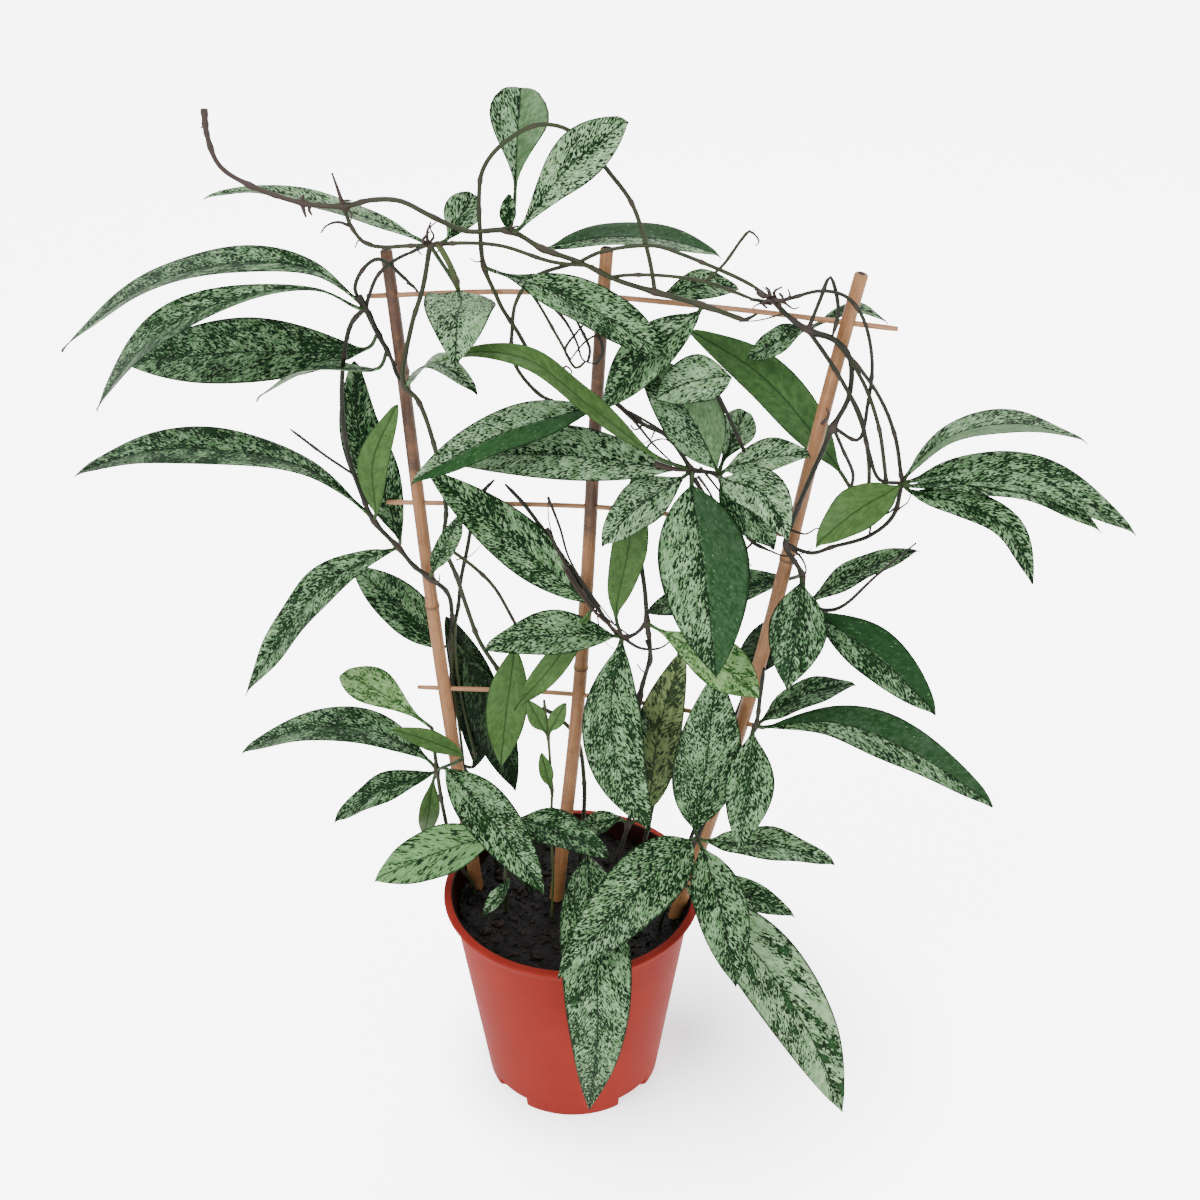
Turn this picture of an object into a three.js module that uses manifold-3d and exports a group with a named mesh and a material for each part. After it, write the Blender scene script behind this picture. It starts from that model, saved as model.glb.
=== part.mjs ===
// A climbing hoya with silver-splashed leaves, trained on a bamboo trellis in a plastic grower pot.
// Millimetres, +Z up. The origin is the middle of the pot's flat base, and -Y is the front.
import * as THREE from 'three';
import { mergeVertices } from 'three/addons/utils/BufferGeometryUtils.js';
import Module from 'manifold-3d';

const wasm = await Module();
wasm.setup();

// Pot and soil
const POT_HEIGHT = 150;
const BASE_RADIUS = 59;
const WALL_SLOPE = 0.14;          // growth of the radius for each millimetre of height
const WALL = 1.5;
const RIM_REACH = 5;              // how far the rim stands out from the wall
const RIM_DEPTH = 8;
const RIM_LIP = 2.2;
const FLOOR = 2;
const POT_SEGMENTS = 36;
const DRAIN = { count: 4, start: 45, spread: 28, height: 8, inner: 52 };
const SOIL_TOP = 135;
const SOIL_LUMP = 1.6;
const GAP = 0.3;                  // clearance between pieces that touch

// Trellis: three stakes in one slanting plane, with three thin rungs through drilled holes
const RACK_Y = 3;
const RACK_TURN = -0.23;          // the plane is y = RACK_Y + RACK_TURN * x
const STAKES = {
  stake_left: { foot: [-59.5, 70], top: [-98.6, 577], thick: [9.4, 7.0], bow: -3,
    joints: [0.22, 0.56, 0.86] },
  stake_middle: { foot: [-20, 34], top: [22.3, 587], thick: [9.6, 7.2], bow: 5,
    joints: [0.3, 0.52, 0.79] },
  stake_right: { foot: [46, 34], top: [153.4, 583], thick: [9.8, 7.4], bow: 8,
    joints: [0.36, 0.69] },
};
const STAKE_SIDES = 8;
const JOINT_SWELL = 0.55;         // how far a bamboo ring stands out
const RUNG_RADIUS = 1.5;
const RUNG_SIDES = 6;
const RUNGS = {
  rung_top: [[367, 296, 0], [527, 292, 0], [724, 308, 0], [898, 329, 0]],
  rung_middle: [[387, 502, 0], [611, 508, 0], [724, 523, 0], [800, 538, 0]],
  rung_bottom: [[418, 687, 0], [582, 695, 0], [700, 713, 0], [765, 728, 0]],
};

// Leaves and vines
const LEAF_THICK = 1.4;
const PETIOLE = 2.4;
const LEAF_FOLD = 0.18;           // rise of the blade's edges for each millimetre out from the midrib
const BLADE_PEAK = 0.45;          // where a blade is widest, from its base to its tip
const BLADE_STEPS = [0, 0.12, 0.34, 0.62, 0.86, 1];
const TIP_WIDTH = 1;
const VINE_SIDES = 4;
const VINE_STEP = 25.5;
const KNOT = 1.15;                // radius of a swollen node, for each millimetre of vine thickness
const ROOT_DEPTH = 40;

// The places below were read off the photograph as [pixel across, pixel down, lift], in its frame of
// 1200 by 1200 pixels. The lift is the distance in millimetres that the point stands in front of the
// trellis plane. This is where the photograph was taken from.
const EYE = new THREE.Vector3(18.6, -843, 857);
const FOCAL = 1630;
const PITCH = THREE.MathUtils.degToRad(30);
const PHOTO_CENTRE = 600;

// A stem stands at root [x, y] in the soil. Its vines run through knots, which have names, and through
// plain points. A leaf grows at a knot, its petiole ends at base, and its blade runs on to tip. wide is
// the blade's width, arch how far it bows out of the straight line, and crest where. roll turns the
// blade's face from the viewer towards the sky, or towards the right on a steep leaf.
const STEMS = {
  crown_stem: {
    root: [4, 22],
    knots: {
      fork: [444, 545, 6], hanging: [515, 623, 6], tie: [404, 385, 11], elbow: [430, 245, 10],
      crown: [510, 231, 8], foot: [484, 267, 5], high: [543, 249, 8], middle: [655, 292, 8],
      right: [701, 305, 8], end: [744, 320, 8],
    },
    vines: [
      { thick: 3, along: ['root', [582, 840, -18], [584, 780, -14], [575, 735, -11], [548, 711, -8],
        [536, 708, -6], [523, 701, 3], [510, 686, 7], [495, 665, 6], [479, 640, 6], [467, 608, 6],
        [456, 575, 6], 'fork', [446, 508, 6], [433, 441, 7], [417, 399, 10], 'tie', [411, 328, 10],
        [423, 287, 10], 'elbow'] },
      { thick: 3, along: [[204, 109, 10], [207, 135, 10], [219, 165, 9], [245, 183, 8], [302, 203, 8],
        [343, 206, 8], [372, 200, 8], [400, 201, 8], [431, 216, 8], [466, 231, 8], 'crown', 'high',
        [579, 262, 8], [617, 280, 8], 'middle', 'right', 'end'] },
      { thick: 2.4, along: [[343, 206, 8], [352, 228, 9], [365, 243, 10], [383, 247, 11],
        [405, 246, 11], 'elbow'] },
      { thick: 2.6, along: [[530, 354, 6], [517, 331, 6], [502, 308, 6], [496, 295, 6], 'foot',
        [480, 229, 6], [479, 198, 6], [482, 172, 6], [497, 149, 6], [533, 126, 6], [553, 125, 6],
        [568, 130, 6], [589, 147, 6], [609, 172, 7], [630, 200, 8], [640, 224, 9], [650, 262, 9],
        'middle'] },
      { thick: 2.4, along: [[579, 262, 8], [538, 275, 7], [524, 288, 6], [515, 305, 6], [512, 331, 6],
        [512, 356, 6], [522, 376, 6], [543, 397, 7], [553, 400, 8]] },
      { thick: 2.4, along: ['elbow', [466, 243, 11], [502, 246, 11], [553, 262, 10], [594, 266, 8]] },
      { thick: 2.4, along: [[579, 262, 8], [604, 251, 10], [655, 246, 10], [681, 254, 9],
        [706, 264, 8], [740, 279, 7], [760, 290, 6]] },
      { thick: 2.2, along: [[610, 277, 8], [630, 275, 9], [668, 276, 9], [706, 282, 8],
        [755, 300, 6]] },
      { thick: 1.8, along: [[706, 281, 8], [724, 264, 9], [742, 239, 9], [750, 231, 9],
        [757, 237, 9]] },
      { thick: 1.8, along: [[526, 286, 6], [538, 303, 7], [561, 343, 9], [576, 368, 9],
        [586, 361, 9]] },
      { thick: 2.4, along: ['fork', [475, 568, 7], [494, 587, 6], 'hanging'] },
    ],
    leaves: {
      edge_on: { at: 'elbow', base: [418, 239, 8], via: [[345, 211, -2], [262, 191, -8]],
        tip: [203, 196, -8], wide: 19, roll: 62 },
      heart: { at: 'elbow', base: [459, 292, 20], tip: [455, 364, 80], wide: 38, peak: 0.3, arch: 6 },
      small_top: { at: 'elbow', base: [445, 241, 8], tip: [475, 192, -16], wide: 21, peak: 0.6, roll: 10 },
      tie_leaf: { at: 'tie', base: [408, 384, 13], tip: [477, 391, 34], wide: 20, roll: 60, arch: 15 },
      summit: { at: 'crown', base: [514, 208, 0], via: [[517, 140, -6]], tip: [521, 83, -20],
        wide: 34, peak: 0.75, roll: 8 },
      summit_right: { at: 'crown', base: [519, 229, 13], via: [[567, 169, 18]],
        tip: [629, 118, 20], wide: 28, peak: 0.62, roll: 20 },
      summit_bud: { at: 'crown', base: [507, 227, 10], tip: [509, 193, 22], wide: 9 },
      behind_middle: { at: 'high', base: [550, 248, 0], via: [[600, 238, -8], [664, 240, -12]],
        tip: [722, 255, -18], wide: 26, roll: 58 },
      splash_long: { at: 'foot', base: [494, 271, 10], tip: [668, 356, 34], wide: 31, peak: 0.58, roll: 38,
        arch: 8 },
      splash_under: { at: 'right', base: [699, 312, 12], tip: [602, 408, 20], wide: 30, roll: 30,
        arch: 6 },
      small_right: { at: 'middle', base: [666, 294, -4], tip: [740, 288, -18], wide: 21, roll: 40,
        arch: 4 },
      pale_hanging: { at: 'hanging', base: [515, 646, 6], tip: [501, 764, 9], wide: 26, roll: -6,
        arch: 4 },
    },
  },
  left_stem: {
    root: [-52, 34],
    knots: {
      low: [462, 765, -11], joint: [451, 640, -9], tie: [430, 578, 9], shoulder: [398, 547, 7],
      bend: [374, 521, 6], top: [365, 308, 6], side: [378, 333, 3], spur: [387, 350, 5],
    },
    vines: [
      { thick: 3, along: ['root', [490, 830, -16], 'low', [453, 703, -9], 'joint', [452, 615, -4],
        [447, 592, 4], 'tie', [414, 566, 8], 'shoulder', 'bend', [357, 482, 6], [348, 454, 6],
        [342, 407, 6], [344, 356, 6], [351, 324, 6], 'top'] },
      { thick: 2.6, along: ['joint', [458, 608, -10], [461, 579, -10], [467, 550, -10],
        [475, 508, -10], [482, 493, -9], [494, 480, -8]] },
      { thick: 2.4, along: ['top', [355, 289, 9], [364, 268, 10], [378, 259, 11], [390, 265, 11],
        [401, 275, 10], [411, 284, 6]] },
      { thick: 2.2, along: ['top', [378, 275, 9], [397, 259, 10], [414, 251, 9]] },
      { thick: 2.4, along: ['top', 'side', 'spur', [394, 365, 9]] },
      { thick: 1.8, along: [[353, 474, 6], [326, 456, 9], [290, 429, 14]] },
    ],
    leaves: {
      far_top: { at: 'top', base: [357, 300, 8], via: [[315, 271, 12], [240, 263, 16], [150, 286, 20]],
        tip: [61, 348, 22], wide: 34, peak: 0.52, roll: 62 },
      far_shadow: { at: 'top', base: [358, 308, 13], via: [[318, 290, 28], [245, 296, 43], [155, 337, 54]],
        tip: [96, 407, 60], wide: 40, peak: 0.68, roll: 60 },
      far_dark: { at: 'side', base: [365, 349, -8], tip: [125, 362, -24], wide: 41, peak: 0.48,
        roll: 20, arch: 6 },
      far_thin: { at: 'spur', base: [379, 368, 10], tip: [256, 398, 14], wide: 24, roll: 84,
        arch: 8 },
      long_left: { at: 'bend', base: [364, 510, 7], via: [[311, 471, 12], [235, 452, 18], [150, 451, 24]],
        tip: [74, 473, 30], wide: 35, peak: 0.58, roll: 48 },
      young_upright: { at: 'bend', base: [376, 513, 8], via: [[373, 462, 11]], tip: [398, 402, 12],
        wide: 18, roll: 4 },
      low_behind: { at: 'joint', base: [444, 647, -12], tip: [352, 566, -26], wide: 30, roll: 15,
        arch: 4 },
      arching: { at: 'shoulder', base: [392, 550, 10], via: [[366, 560, 16], [321, 589, 28]],
        tip: [245, 693, 52], wide: 29, roll: 42 },
      upright_dark: { at: 'shoulder', base: [400, 540, -5], via: [[380, 485, -18], [358, 425, -24]],
        tip: [354, 357, -34], wide: 29, roll: 14 },
      tie_small: { at: 'tie', base: [433, 571, 14], tip: [461, 512, 36], wide: 15, roll: 30 },
      tall_dark: { at: 'low', base: [473, 767, -14], via: [[477, 700, -18]], tip: [446, 613, -16],
        wide: 29, roll: 6 },
      shadow_hanging: { at: 'joint', base: [463, 653, -13], tip: [515, 788, -24], wide: 28, roll: 12,
        arch: 4 },
      pot_shadow: { at: 'low', base: [470, 776, -13], tip: [533, 893, 12], wide: 26, roll: 25,
        arch: 6 },
    },
  },
  low_left_stem: {
    root: [-66, 10],
    knots: { node: [437, 770, 6], upper: [432, 728, 7] },
    vines: [
      { thick: 2.8, along: ['root', [455, 855, 11], [443, 808, 8], 'node', 'upper'] },
    ],
    leaves: {
      front_down: { at: 'node', base: [446, 769, 16], tip: [544, 892, 78], wide: 33, roll: 14,
        arch: 9 },
      left_down: { at: 'node', base: [432, 773, 8], tip: [334, 820, 32], wide: 24, roll: 40,
        arch: 6 },
      left_hump: { at: 'node', base: [427, 759, 5], via: [[372, 731, 5], [312, 728, 7]],
        tip: [242, 750, 8], wide: 33, roll: 44 },
      left_splash: { at: 'upper', base: [428, 725, 6], tip: [340, 672, -12], wide: 29, peak: 0.66,
        roll: 26, arch: 5 },
      young_cross: { at: 'node', base: [462, 756, 17], via: [[432, 742, 22]], tip: [391, 729, 28],
        wide: 15, roll: 30 },
      young_low: { at: 'node', base: [433, 782, 3], tip: [424, 834, -8], wide: 14, roll: 10,
        arch: 5 },
    },
  },
  front_shoot: {
    root: [-44, -8],
    knots: { node: [505, 826, 18], low: [506, 878, 21] },
    vines: [
      { thick: 2.6, along: ['root', 'low', 'node'] },
    ],
    leaves: {
      right_low: { at: 'node', base: [513, 821, 26], tip: [610, 856, 52], wide: 28, roll: 32,
        arch: 7 },
      streaked: { at: 'node', base: [498, 832, 19], tip: [374, 879, 36], wide: 34, roll: 14,
        arch: 6 },
      pot_small: { at: 'low', base: [509, 881, 26], tip: [483, 916, 42], wide: 11, roll: 20 },
    },
  },
  young_shoot: {
    root: [-13, -14],
    knots: { low: [552, 790, 23], mid: [548, 735, 26], tip: [544, 700, 27] },
    vines: [
      { thick: 1.9, along: ['root', [553, 870, 20], [551, 825, 20], 'low', [550, 760, 25], 'mid',
        'tip'] },
    ],
    leaves: {
      low_leaf: { at: 'low', base: [550, 786, 26], tip: [541, 752, 36], wide: 9 },
      right_leaf: { at: 'mid', base: [550, 731, 28], tip: [566, 702, 34], wide: 10 },
      left_leaf: { at: 'mid', base: [545, 731, 27], tip: [528, 700, 32], wide: 12 },
    },
  },
  hanging_stem: {
    root: [12, -14],
    knots: { node: [588, 846, 16] },
    vines: [
      { thick: 2.6, along: ['root', [590, 885, 15], 'node', [590, 826, 15]] },
    ],
    leaves: {
      over_rim: { at: 'node', base: [588, 857, 22], via: [[592, 912, 62], [597, 975, 99],
        [597, 1042, 107]], tip: [589, 1107, 102], wide: 43, peak: 0.35 },
    },
  },
  middle_stem: {
    root: [24, 2],
    knots: {
      low: [628, 825, -2], upright: [637, 760, 4], rung: [640, 696, 7], node: [647, 622, 7],
      side: [622, 637, 9], branch: [595, 604, 11],
    },
    vines: [
      { thick: 3, along: ['root', [616, 862, -5], 'low', 'upright', 'rung', [650, 655, 7], 'node',
        [645, 592, 2], [641, 563, -3], [637, 533, -6], [630, 500, -7]] },
      { thick: 2.6, along: ['node', [635, 634, 8], 'side', 'branch', [580, 581, 11], [561, 554, 8],
        [542, 528, 6], [523, 503, 6], [505, 484, 4]] },
    ],
    leaves: {
      hanging_left: { at: 'side', base: [622, 644, 14], via: [[611, 705, 27], [618, 765, 36]],
        tip: [650, 829, 42], wide: 37, roll: 8 },
      hanging_behind: { at: 'side', base: [619, 646, 9], tip: [598, 781, 16], wide: 22, arch: 3 },
      across_stake: { at: 'side', base: [613, 636, 13], tip: [484, 648, 38], wide: 31, roll: 32,
        arch: 8 },
      young_left: { at: 'branch', base: [589, 614, 13], tip: [514, 709, 24], wide: 17, roll: 20,
        arch: 5 },
      across_rung: { at: 'branch', base: [588, 602, 13], tip: [428, 471, 13], wide: 31, roll: 8,
        arch: 5 },
      folded: { at: 'side', base: [616, 617, 7], tip: [638, 465, 8], wide: 22, roll: 20, arch: 4 },
      olive: { at: 'low', base: [644, 813, 1], via: [[660, 725, 5]], tip: [684, 648, 8], wide: 30,
        roll: -6 },
      narrow: { at: 'rung', base: [638, 706, 8], tip: [640, 742, 10], wide: 12 },
      behind_low: { at: 'low', base: [621, 819, -3], tip: [573, 836, -5], wide: 18, roll: 30,
        arch: 3 },
      green_right: { at: 'node', base: [652, 626, 12], tip: [759, 695, 36], wide: 32, peak: 0.64,
        roll: 24, arch: 6 },
    },
  },
  heart_stem: {
    root: [42, 16],
    knots: { heart: [692, 470, 10], twin: [719, 476, 8], hold: [611, 399, 11], whorl: [716, 391, 8] },
    vines: [
      { thick: 3, along: ['root', [645, 840, -21], [660, 770, -18], [672, 700, -15], [684, 620, -9],
        [688, 560, -5], [690, 536, 3], [691, 506, 8], 'heart'] },
      { thick: 2.8, along: ['heart', [667, 436, 12], [643, 424, 12], 'hold'] },
      { thick: 2.6, along: ['heart', 'twin', [728, 504, 7], [753, 542, 7], [768, 550, 8]] },
      { thick: 2.4, along: [[748, 536, 7], [758, 505, 6], [752, 473, 4], [735, 430, 5], 'whorl'] },
    ],
    leaves: {
      near_white: { at: 'whorl', base: [730, 378, 11], tip: [656, 397, 27], wide: 29, roll: 26,
        arch: 7 },
      upper_left: { at: 'twin', base: [716, 468, 11], via: [[686, 410, 12]], tip: [640, 358, 5],
        wide: 36, roll: 14 },
      upper_behind: { at: 'twin', base: [721, 466, 4], tip: [746, 408, -16], wide: 22, peak: 0.66,
        roll: 16 },
      right_high: { at: 'twin', base: [726, 470, 9], tip: [811, 454, 18], wide: 27, roll: 46,
        arch: 3 },
      right_white: { at: 'twin', base: [723, 479, 20], via: [[766, 497, 40]], tip: [788, 537, 50],
        wide: 27, roll: 18 },
      right_dark: { at: 'twin', base: [721, 483, 10], tip: [774, 546, 22], wide: 28, roll: 22,
        arch: 4 },
      left_front: { at: 'heart', base: [682, 478, 14], tip: [602, 543, 30], wide: 28, roll: 25,
        arch: 6 },
      great_front: { at: 'heart', base: [692, 486, 22], tip: [716, 674, 66], wide: 50, peak: 0.41, roll: 5,
        arch: 8 },
      left_dark: { at: 'heart', base: [674, 469, 12], tip: [440, 458, 32], wide: 36, roll: 32,
        arch: 9 },
      young_long: { at: 'heart', base: [657, 457, 23],
        via: [[583, 401, 38], [530, 361, 46], [480, 352, 46]],
        tip: [436, 361, 46], wide: 19, roll: 45 },
      left_silver: { at: 'hold', base: [598, 405, 18], tip: [410, 482, 62], wide: 30, roll: 40,
        arch: 8 },
    },
  },
  right_stem: {
    root: [64, 12],
    knots: {
      twin: [800, 605, -4], turn: [802, 575, 3], tie: [786, 545, 10], dry: [775, 303, 6],
      top: [808, 330, 9], fork: [833, 427, 10], drop: [851, 489, -13], cluster: [902, 483, 6],
    },
    vines: [
      { thick: 3, along: ['root', [686, 850, -18], [712, 780, -14], [738, 710, -12], [762, 660, -12],
        [788, 632, -9], 'twin', 'turn', 'tie', [793, 520, 10], [810, 479, 10], [823, 450, 10],
        'fork', [849, 396, 9], [849, 356, 9], [832, 338, 9], 'top', [788, 316, 8], 'dry'] },
      { thick: 2.6, along: ['tie', [812, 553, 10], [832, 547, 9], [869, 536, 8], [893, 516, 7],
        'cluster'] },
      { thick: 2.2, along: ['top', [826, 355, 13], [843, 383, 14], [860, 414, 14], [869, 452, 13],
        [880, 480, 10], 'cluster'] },
      { thick: 2.4, along: [[832, 338, 9], [857, 365, 13], [880, 398, 12], [895, 436, 9],
        'cluster'] },
      { thick: 2.2, along: ['dry', [795, 297, 7], [820, 291, 8], [845, 296, 10], [862, 316, 11],
        [872, 359, 9], [868, 403, 6], [858, 440, 7], 'fork'] },
      { thick: 2.2, along: ['top', [820, 300, 8], [830, 277, 8], [836, 292, 8], [838, 314, 9],
        [832, 338, 9]] },
      { thick: 2.2, along: ['fork', [843, 450, 3], [853, 474, -7], 'drop'] },
    ],
    leaves: {
      tie_left: { at: 'top', base: [803, 330, 0], tip: [747, 357, -22], wide: 18, roll: 34 },
      thin_right: { at: 'top', base: [820, 323, -8], tip: [888, 322, -20], wide: 13, roll: 60,
        arch: 8 },
      plain_great: { at: 'drop', base: [839, 470, -15], via: [[766, 380, -23]], tip: [687, 328, -30],
        wide: 28, roll: 22 },
      cluster_high: { at: 'cluster', base: [908, 474, 5], via: [[950, 437, 0], [1014, 424, -6]],
        tip: [1088, 440, -14], wide: 25, roll: 58 },
      cluster_long: { at: 'cluster', base: [911, 481, 8], via: [[960, 473, 13], [1036, 480, 20]],
        tip: [1137, 532, 26], wide: 33, roll: 48 },
      cluster_under: { at: 'cluster', base: [912, 486, 15], via: [[962, 482, 24], [1036, 493, 32]],
        tip: [1102, 530, 36], wide: 20, roll: 42 },
      cluster_low: { at: 'cluster', base: [910, 491, 13], via: [[965, 505, 34], [1009, 529, 46]],
        tip: [1033, 581, 54], wide: 20, roll: 30 },
      cluster_young: { at: 'cluster', base: [898, 487, 9], tip: [816, 544, 34], wide: 27, roll: 24,
        arch: 5 },
      twig_leaf: { at: 'twin', base: [810, 601, -6], tip: [920, 549, -22], wide: 20, roll: 42,
        arch: 5 },
      behind_left: { at: 'turn', base: [788, 579, -12], tip: [645, 612, -36], wide: 26, roll: 28,
        arch: 5 },
      hanging: { at: 'turn', base: [801, 584, 9], tip: [787, 686, 38], wide: 34, roll: 14, arch: 5 },
      low_right: { at: 'twin', base: [809, 610, -2], tip: [936, 712, 24], wide: 32, peak: 0.5, roll: 26,
        arch: 8 },
      behind_stake: { at: 'twin', base: [791, 612, -9], tip: [738, 678, -14], wide: 25, roll: 12,
        arch: 3 },
    },
  },
  right_low_stem: {
    root: [58, -26],
    knots: { node: [697, 838, 18], upper: [755, 727, 9], low: [680, 878, 18] },
    vines: [
      { thick: 2.8, along: ['root', 'low', 'node', [722, 785, 15], 'upper', [760, 697, 9],
        [764, 668, 9]] },
    ],
    leaves: {
      upper_right: { at: 'upper', base: [763, 720, 5], tip: [857, 683, -8], wide: 24, roll: 44,
        arch: 6 },
      long_right: { at: 'upper', base: [765, 727, 10], via: [[834, 723, 14], [908, 750, 20]],
        tip: [993, 804, 26], wide: 33, peak: 0.52, roll: 36 },
      drooping: { at: 'upper', base: [753, 734, 13], tip: [740, 846, 42], wide: 30, roll: 14,
        arch: 5 },
      side_low: { at: 'node', base: [707, 841, 16], tip: [835, 862, 20], wide: 26, roll: 38, arch: 6 },
      side_lowest: { at: 'low', base: [693, 880, 15], tip: [795, 915, 12], wide: 22, roll: 28,
        arch: 4 },
      front_down: { at: 'node', base: [702, 848, 25], tip: [736, 984, 92], wide: 34, roll: 14,
        arch: 8 },
      great_sage: { at: 'low', base: [687, 886, 24], via: [[753, 950, 48], [804, 1024, 68]],
        tip: [843, 1110, 80], wide: 44, roll: 8 },
      diagonal: { at: 'node', base: [691, 841, 27], via: [[640, 888, 72]], tip: [558, 976, 120],
        wide: 41, peak: 0.38, roll: 6 },
      upright_splash: { at: 'node', base: [696, 830, 21], tip: [716, 672, 14], wide: 42, roll: 12,
        arch: 5 },
    },
  },
};

// Helpers that turn the places into shapes

// The point where the line of sight through a pixel meets a plane in front of the trellis.
function sight([px, py, lift]) {
  const across = px - PHOTO_CENTRE;
  const down = py - PHOTO_CENTRE;
  const ray = new THREE.Vector3(
    across,
    FOCAL * Math.cos(PITCH) - down * Math.sin(PITCH),
    -FOCAL * Math.sin(PITCH) - down * Math.cos(PITCH),
  );
  const start = RACK_Y + RACK_TURN * EYE.x - EYE.y - lift;
  return ray.multiplyScalar(start / (ray.y - RACK_TURN * ray.x)).add(EYE);
}

// A closed three.js geometry as a solid that can be joined and cut.
function solid(geometry) {
  const bare = geometry.clone();
  for (const name of ['normal', 'uv']) bare.deleteAttribute(name);
  const merged = mergeVertices(bare, 1e-5);
  return new wasm.Manifold(new wasm.Mesh({
    numProp: 3,
    vertProperties: new Float32Array(merged.attributes.position.array),
    triVerts: new Uint32Array(merged.index.array),
  }));
}

function toGeometry(body) {
  const { vertProperties, triVerts } = body.getMesh();
  const geometry = new THREE.BufferGeometry();
  geometry.setAttribute('position', new THREE.BufferAttribute(new Float32Array(vertProperties), 3));
  geometry.setIndex(new THREE.BufferAttribute(new Uint32Array(triVerts), 1));
  geometry.computeVertexNormals();
  return geometry;
}

function join(bodies) {
  return bodies.reduce((whole, body) => whole.add(body));
}

// A solid turned round the Z axis from a profile of [radius, height] points.
function turned(profile, segments = POT_SEGMENTS) {
  const points = profile.map(([radius, height]) => new THREE.Vector2(radius, height));
  return new THREE.LatheGeometry(points, segments).rotateX(Math.PI / 2);
}

function polygon(radius, sides) {
  const corners = Array.from({ length: sides }, (_, i) => {
    const angle = (i / sides) * Math.PI * 2;
    return new THREE.Vector2(radius * Math.cos(angle), radius * Math.sin(angle));
  });
  return new THREE.Shape(corners);
}

function tube(points, radius, sides, step) {
  const path = new THREE.CatmullRomCurve3(points);
  const steps = Math.max(2, Math.ceil(path.getLength() / step));
  return new THREE.ExtrudeGeometry(polygon(radius, sides), { steps, extrudePath: path });
}

function wallRadius(height) {
  return BASE_RADIUS + WALL_SLOPE * height;
}

// Pot

// The four recesses in the edge of the base, which let water out. grow makes them larger all round.
function drains(grow) {
  const { count, start, spread, height, inner } = DRAIN;
  const turn = THREE.MathUtils.degToRad(spread);
  const side = grow / BASE_RADIUS;
  const shape = new THREE.Shape();
  shape.absarc(0, 0, BASE_RADIUS + RIM_REACH, -turn / 2 - side, turn / 2 + side);
  shape.absarc(0, 0, inner - grow, turn / 2 + side, -turn / 2 - side, true);
  return join(Array.from({ length: count }, (_, i) => {
    const block = new THREE.ExtrudeGeometry(shape, {
      depth: height + grow + 1, bevelEnabled: false, curveSegments: 3,
    });
    const angle = THREE.MathUtils.degToRad(start + (i * 360) / count);
    return solid(block.translate(0, 0, -1).rotateZ(angle));
  }));
}

function makePot() {
  const rimRadius = wallRadius(POT_HEIGHT);
  const outer = turned([
    [0, 0], [BASE_RADIUS, 0], [wallRadius(POT_HEIGHT - RIM_DEPTH - 1.5), POT_HEIGHT - RIM_DEPTH - 1.5],
    [rimRadius + 1, POT_HEIGHT - RIM_DEPTH], [rimRadius + 2, POT_HEIGHT - RIM_LIP - 0.8],
    [rimRadius + RIM_REACH, POT_HEIGHT - RIM_LIP], [rimRadius + RIM_REACH, POT_HEIGHT - 0.8],
    [rimRadius + RIM_REACH - 1, POT_HEIGHT], [0, POT_HEIGHT],
  ]);
  const inner = turned([
    [0, FLOOR], [wallRadius(FLOOR) - WALL, FLOOR], [rimRadius - WALL, POT_HEIGHT + 0.01],
    [rimRadius - WALL, POT_HEIGHT + 5], [0, POT_HEIGHT + 5],
  ]);
  return solid(outer).subtract(drains(0)).subtract(solid(inner).subtract(drains(WALL)));
}

// Trellis

function onRack(x, z) {
  return new THREE.Vector3(x, RACK_Y + RACK_TURN * x, z);
}

// A bamboo stake: a turned pole with a ring at each joint, bowed sideways between its ends.
function stake({ foot, top, thick, bow, joints }, extra = 0) {
  const start = onRack(...foot);
  const axis = onRack(...top).sub(start);
  const length = axis.length();
  const radius = (s) => THREE.MathUtils.lerp(thick[0], thick[1], s) / 2 + extra;
  const ring = 1.6;
  const profile = [[0, 0], [radius(0) - 0.8, 0], [radius(0), 1]];
  for (const s of joints) {
    const height = s * length;
    profile.push([radius(s), height - ring], [radius(s) + JOINT_SWELL, height],
      [radius(s), height + ring]);
  }
  profile.push([radius(1), length - 1], [radius(1) - 0.8, length], [0, length]);
  const pole = turned(profile, STAKE_SIDES);
  const places = pole.attributes.position;
  const point = new THREE.Vector3();
  for (let i = 0; i < places.count; i += 1) {
    point.fromBufferAttribute(places, i);
    point.x += bow * Math.sin((Math.PI * point.z) / length) ** 2;
    places.setXYZ(i, point.x, point.y, point.z);
  }
  const turn = new THREE.Quaternion().setFromUnitVectors(new THREE.Vector3(0, 0, 1),
    axis.clone().normalize());
  return solid(pole.applyQuaternion(turn).translate(start.x, start.y, start.z));
}

function rung(places, extra = 0) {
  return solid(tube(places.map(sight), RUNG_RADIUS + extra, RUNG_SIDES, 60));
}

// Stems

function knotPlace(stem, place) {
  return sight(typeof place === 'string' ? stem.knots[place] : place);
}

function rootPoints([x, y]) {
  return [-ROOT_DEPTH, -ROOT_DEPTH / 2, 5].map((depth) => new THREE.Vector3(x, y, SOIL_TOP + depth));
}

function vine(stem, { thick, along }) {
  const points = along.flatMap((place) => (
    place === 'root' ? rootPoints(stem.root) : [knotPlace(stem, place)]));
  return solid(tube(points, thick / 2, VINE_SIDES, VINE_STEP));
}

// A blade's half width along its length, for a half width of one: it widens slowly from the stalk to
// its peak and closes faster at the tip, which is blunter the nearer the peak lies to it.
function bladeOutline(s, peak) {
  const wave = Math.sin(Math.PI * s ** (Math.log(0.5) / Math.log(peak)));
  const blunt = 0.65 - Math.max(0, peak - 0.6);
  return wave ** (s < peak ? 1 : blunt) * (1 - 0.25 * s ** 5);
}

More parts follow.
